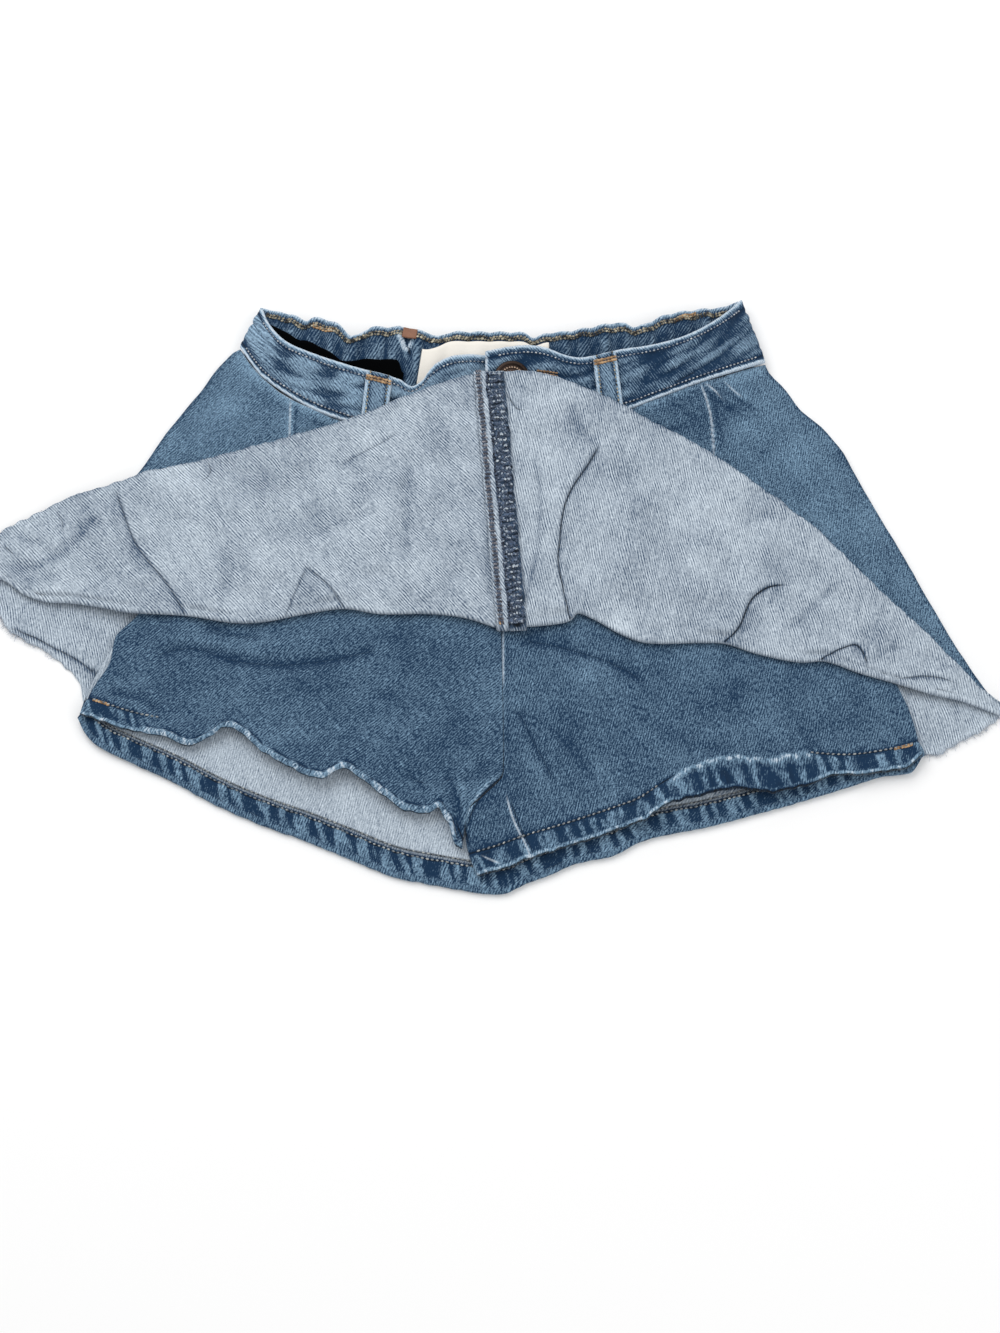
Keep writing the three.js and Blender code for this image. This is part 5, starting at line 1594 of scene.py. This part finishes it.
class SKORT_OT_raw_edges(bpy.types.Operator):
    """Frays the raw hems of the skirt"""

    bl_idname = "skort.raw_edges"
    bl_label = "Raw edges"

    def execute(self, context):
        s = context.scene.skort_stitching
        u = np.linspace(0.01, 0.99, 400)
        fronts = [(metres(PANELS[name](u, np.full(u.shape, 3.0))), np.tile([0.0, 0.8, 0.6], (len(u), 1)))
                  for name in ("skirt_front_left", "skirt_front_right")]
        backs = []
        for low, high, count, side in ((0.9, 0.999, 160, 0.2), (0.001, 0.1, 120, -0.25)):
            line = skirt_back_flat(np.linspace(low, high, count), np.ones(count)) + np.array([0, 0.4, 1.2])
            backs.append((metres(line), np.tile([side, -0.7, 0.7], (count, 1))))
        for name, paths, spacing, long, thick in (("fibres_front", fronts, 0.5, s.fibre, 0.06),
                                                  ("fibres_back", backs, 0.3, s.fray, 0.08)):
            run_tree(fibre_tree(), name, paths, "fibre_cotton", "denim_wrong_side", Spacing=spacing * MM,
                     Length=long, Radius=thick * MM)
        return {"FINISHED"}


FLAT = {
    # piece: slot, width, length, share of their product, held, what it rests on
    "skirt_front_left": ("denim_wrong_side", 0.255, 0.225, 0.74, "folded",
                         ("shorts_front_left", "waistband_front_left")),
    "skirt_front_right": ("denim_wrong_side", 0.255, 0.27, 0.68, "folded",
                          ("shorts_front_right", "waistband_front_right")),
    "skirt_back": ("denim_wrong_side", 0.487, 0.265, 0.66, "laid", ()),
    "shorts_front_left": ("denim_face", 0.195, 0.215, 0.7, "laid", ("shorts_back_left",)),
    "shorts_front_right": ("denim_face", 0.21, 0.25, 0.68, "laid", ("shorts_back_right",)),
    "shorts_back_left": ("denim_face", 0.196, 0.258, 0.74, "laid", ("skirt_back",)),
    "shorts_back_right": ("denim_face", 0.206, 0.266, 0.7, "laid", ("skirt_back",)),
    "waistband_front_left": ("denim_face", 0.165, 0.029, None, "folded", ("skirt_front_left",)),
    "waistband_front_right": ("denim_face", 0.15, 0.03, None, "folded", ("skirt_front_right",)),
    "waistband_back": ("denim_face", 0.262, 0.034, None, "gathered", ("skirt_back",)),
    "belt_loop_left": ("denim_face", 0.012, 0.031, None, "folded", ("waistband_front_left",)),
    "belt_loop_right": ("denim_face", 0.012, 0.031, None, "folded", ("waistband_front_right",)),
    "facing": ("facing_cloth", 0.071, 0.018, None, "laid", ("waistband_back",)),
    "label": ("label_cloth", 0.065, 0.022, None, "laid", ("waistband_back",)),
    "patch": ("patch_leather", 0.01, 0.01, 0.5, "laid", ("waistband_back",)),
    "skirt_front_allowance": ("denim_face", 0.0145, 0.15, None, "folded", ("skirt_front_right",)),
}


class SKORT_OT_declare(bpy.types.Operator):
    """Puts each cloth piece under the root body"""

    bl_idname = "skort.declare"
    bl_label = "Name the cloth pieces"

    def execute(self, context):
        for name, (slot, width, long, share, held, under) in FLAT.items():
            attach(PIECES[name], "root")
        return {"FINISHED"}


class SKORT_OT_stage(bpy.types.Operator):
    """Makes the floor, the soft lights and the camera"""

    bl_idname = "skort.stage"
    bl_label = "Stage"

    def execute(self, context):
        scene = context.scene
        s = scene.skort_stage
        floor_finish, _, inputs = material("floor", Roughness=0.9, Specular_IOR_Level=0.1)
        inputs["Base Color"].default_value = (*s.floor, 1)
        mesh = bpy.data.meshes.new("floor")
        z = -0.2 * MM
        mesh.from_pydata([(-4, -4, z), (4, -4, z), (4, 4, z), (-4, 4, z)], [], [(0, 1, 2, 3)])
        mesh.materials.append(floor_finish)
        floor = bpy.data.objects.new("floor", mesh)
        scene.collection.objects.link(floor)

        middle = Vector(metres(np.zeros(3)))
        for name, place, size, power in (("key", (-0.55, 0.75, 1.35), 1.3, s.key),
                                         ("fill", (0.9, -0.4, 1.2), 1.2, 0.35 * s.key)):
            lamp = bpy.data.lights.new(name, "AREA")
            lamp.shape, lamp.size, lamp.energy = "DISK", size, power
            light = bpy.data.objects.new(name, lamp)
            light.location = middle + Vector(place)
            light.rotation_euler = (-Vector(place)).to_track_quat("-Z", "Y").to_euler()
            scene.collection.objects.link(light)

        world = bpy.data.worlds.new("studio")
        world.use_nodes = True
        ground = world.node_tree.nodes["Background"]
        ground.inputs["Color"].default_value = (1, 1, 1, 1)
        ground.inputs["Strength"].default_value = s.fill
        scene.world = world
        scene.view_settings.view_transform = "Standard"

        lens = bpy.data.cameras.new("camera")
        lens.sensor_width, lens.lens = 36, s.lens
        lens.dof.use_dof = False
        camera = bpy.data.objects.new("camera", lens)
        back = Vector((0, -math.cos(s.elevation), math.sin(s.elevation)))
        camera.location = middle + back * s.distance
        camera.rotation_euler = (-back).to_track_quat("-Z", "Y").to_euler()
        scene.collection.objects.link(camera)
        scene.camera = camera
        return {"FINISHED"}


OPERATORS = (SKORT_OT_stage, SKORT_OT_skirt_back, SKORT_OT_shorts, SKORT_OT_skirt_front, SKORT_OT_waistband,
             SKORT_OT_trim, SKORT_OT_loops, SKORT_OT_button, SKORT_OT_allowance, SKORT_OT_stitching,
             SKORT_OT_raw_edges, SKORT_OT_declare)


class SKORT_PT_panel(bpy.types.Panel):
    bl_idname = "SKORT_PT_panel"
    bl_label = "Denim skort"
    bl_space_type = "VIEW_3D"
    bl_region_type = "UI"
    bl_category = "Skort"

    def draw(self, context):
        for operator in OPERATORS:
            self.layout.operator(operator.bl_idname)
        for key in SETTINGS:
            box = self.layout.box()
            settings = getattr(context.scene, key)
            for name in SETTINGS[key].__annotations__:
                box.prop(settings, name)


def register():
    for item in (*SETTINGS.values(), *OPERATORS, SKORT_PT_panel):
        bpy.utils.register_class(item)
    for key, group in SETTINGS.items():
        setattr(bpy.types.Scene, key, bpy.props.PointerProperty(type=group))


def unregister():
    for key in SETTINGS:
        delattr(bpy.types.Scene, key)
    for item in reversed((*SETTINGS.values(), *OPERATORS, SKORT_PT_panel)):
        bpy.utils.unregister_class(item)


def main():
    register()
    for operator in OPERATORS:
        group, name = operator.bl_idname.split(".")
        getattr(getattr(bpy.ops, group), name)()


if __name__ == "__main__":
    main()
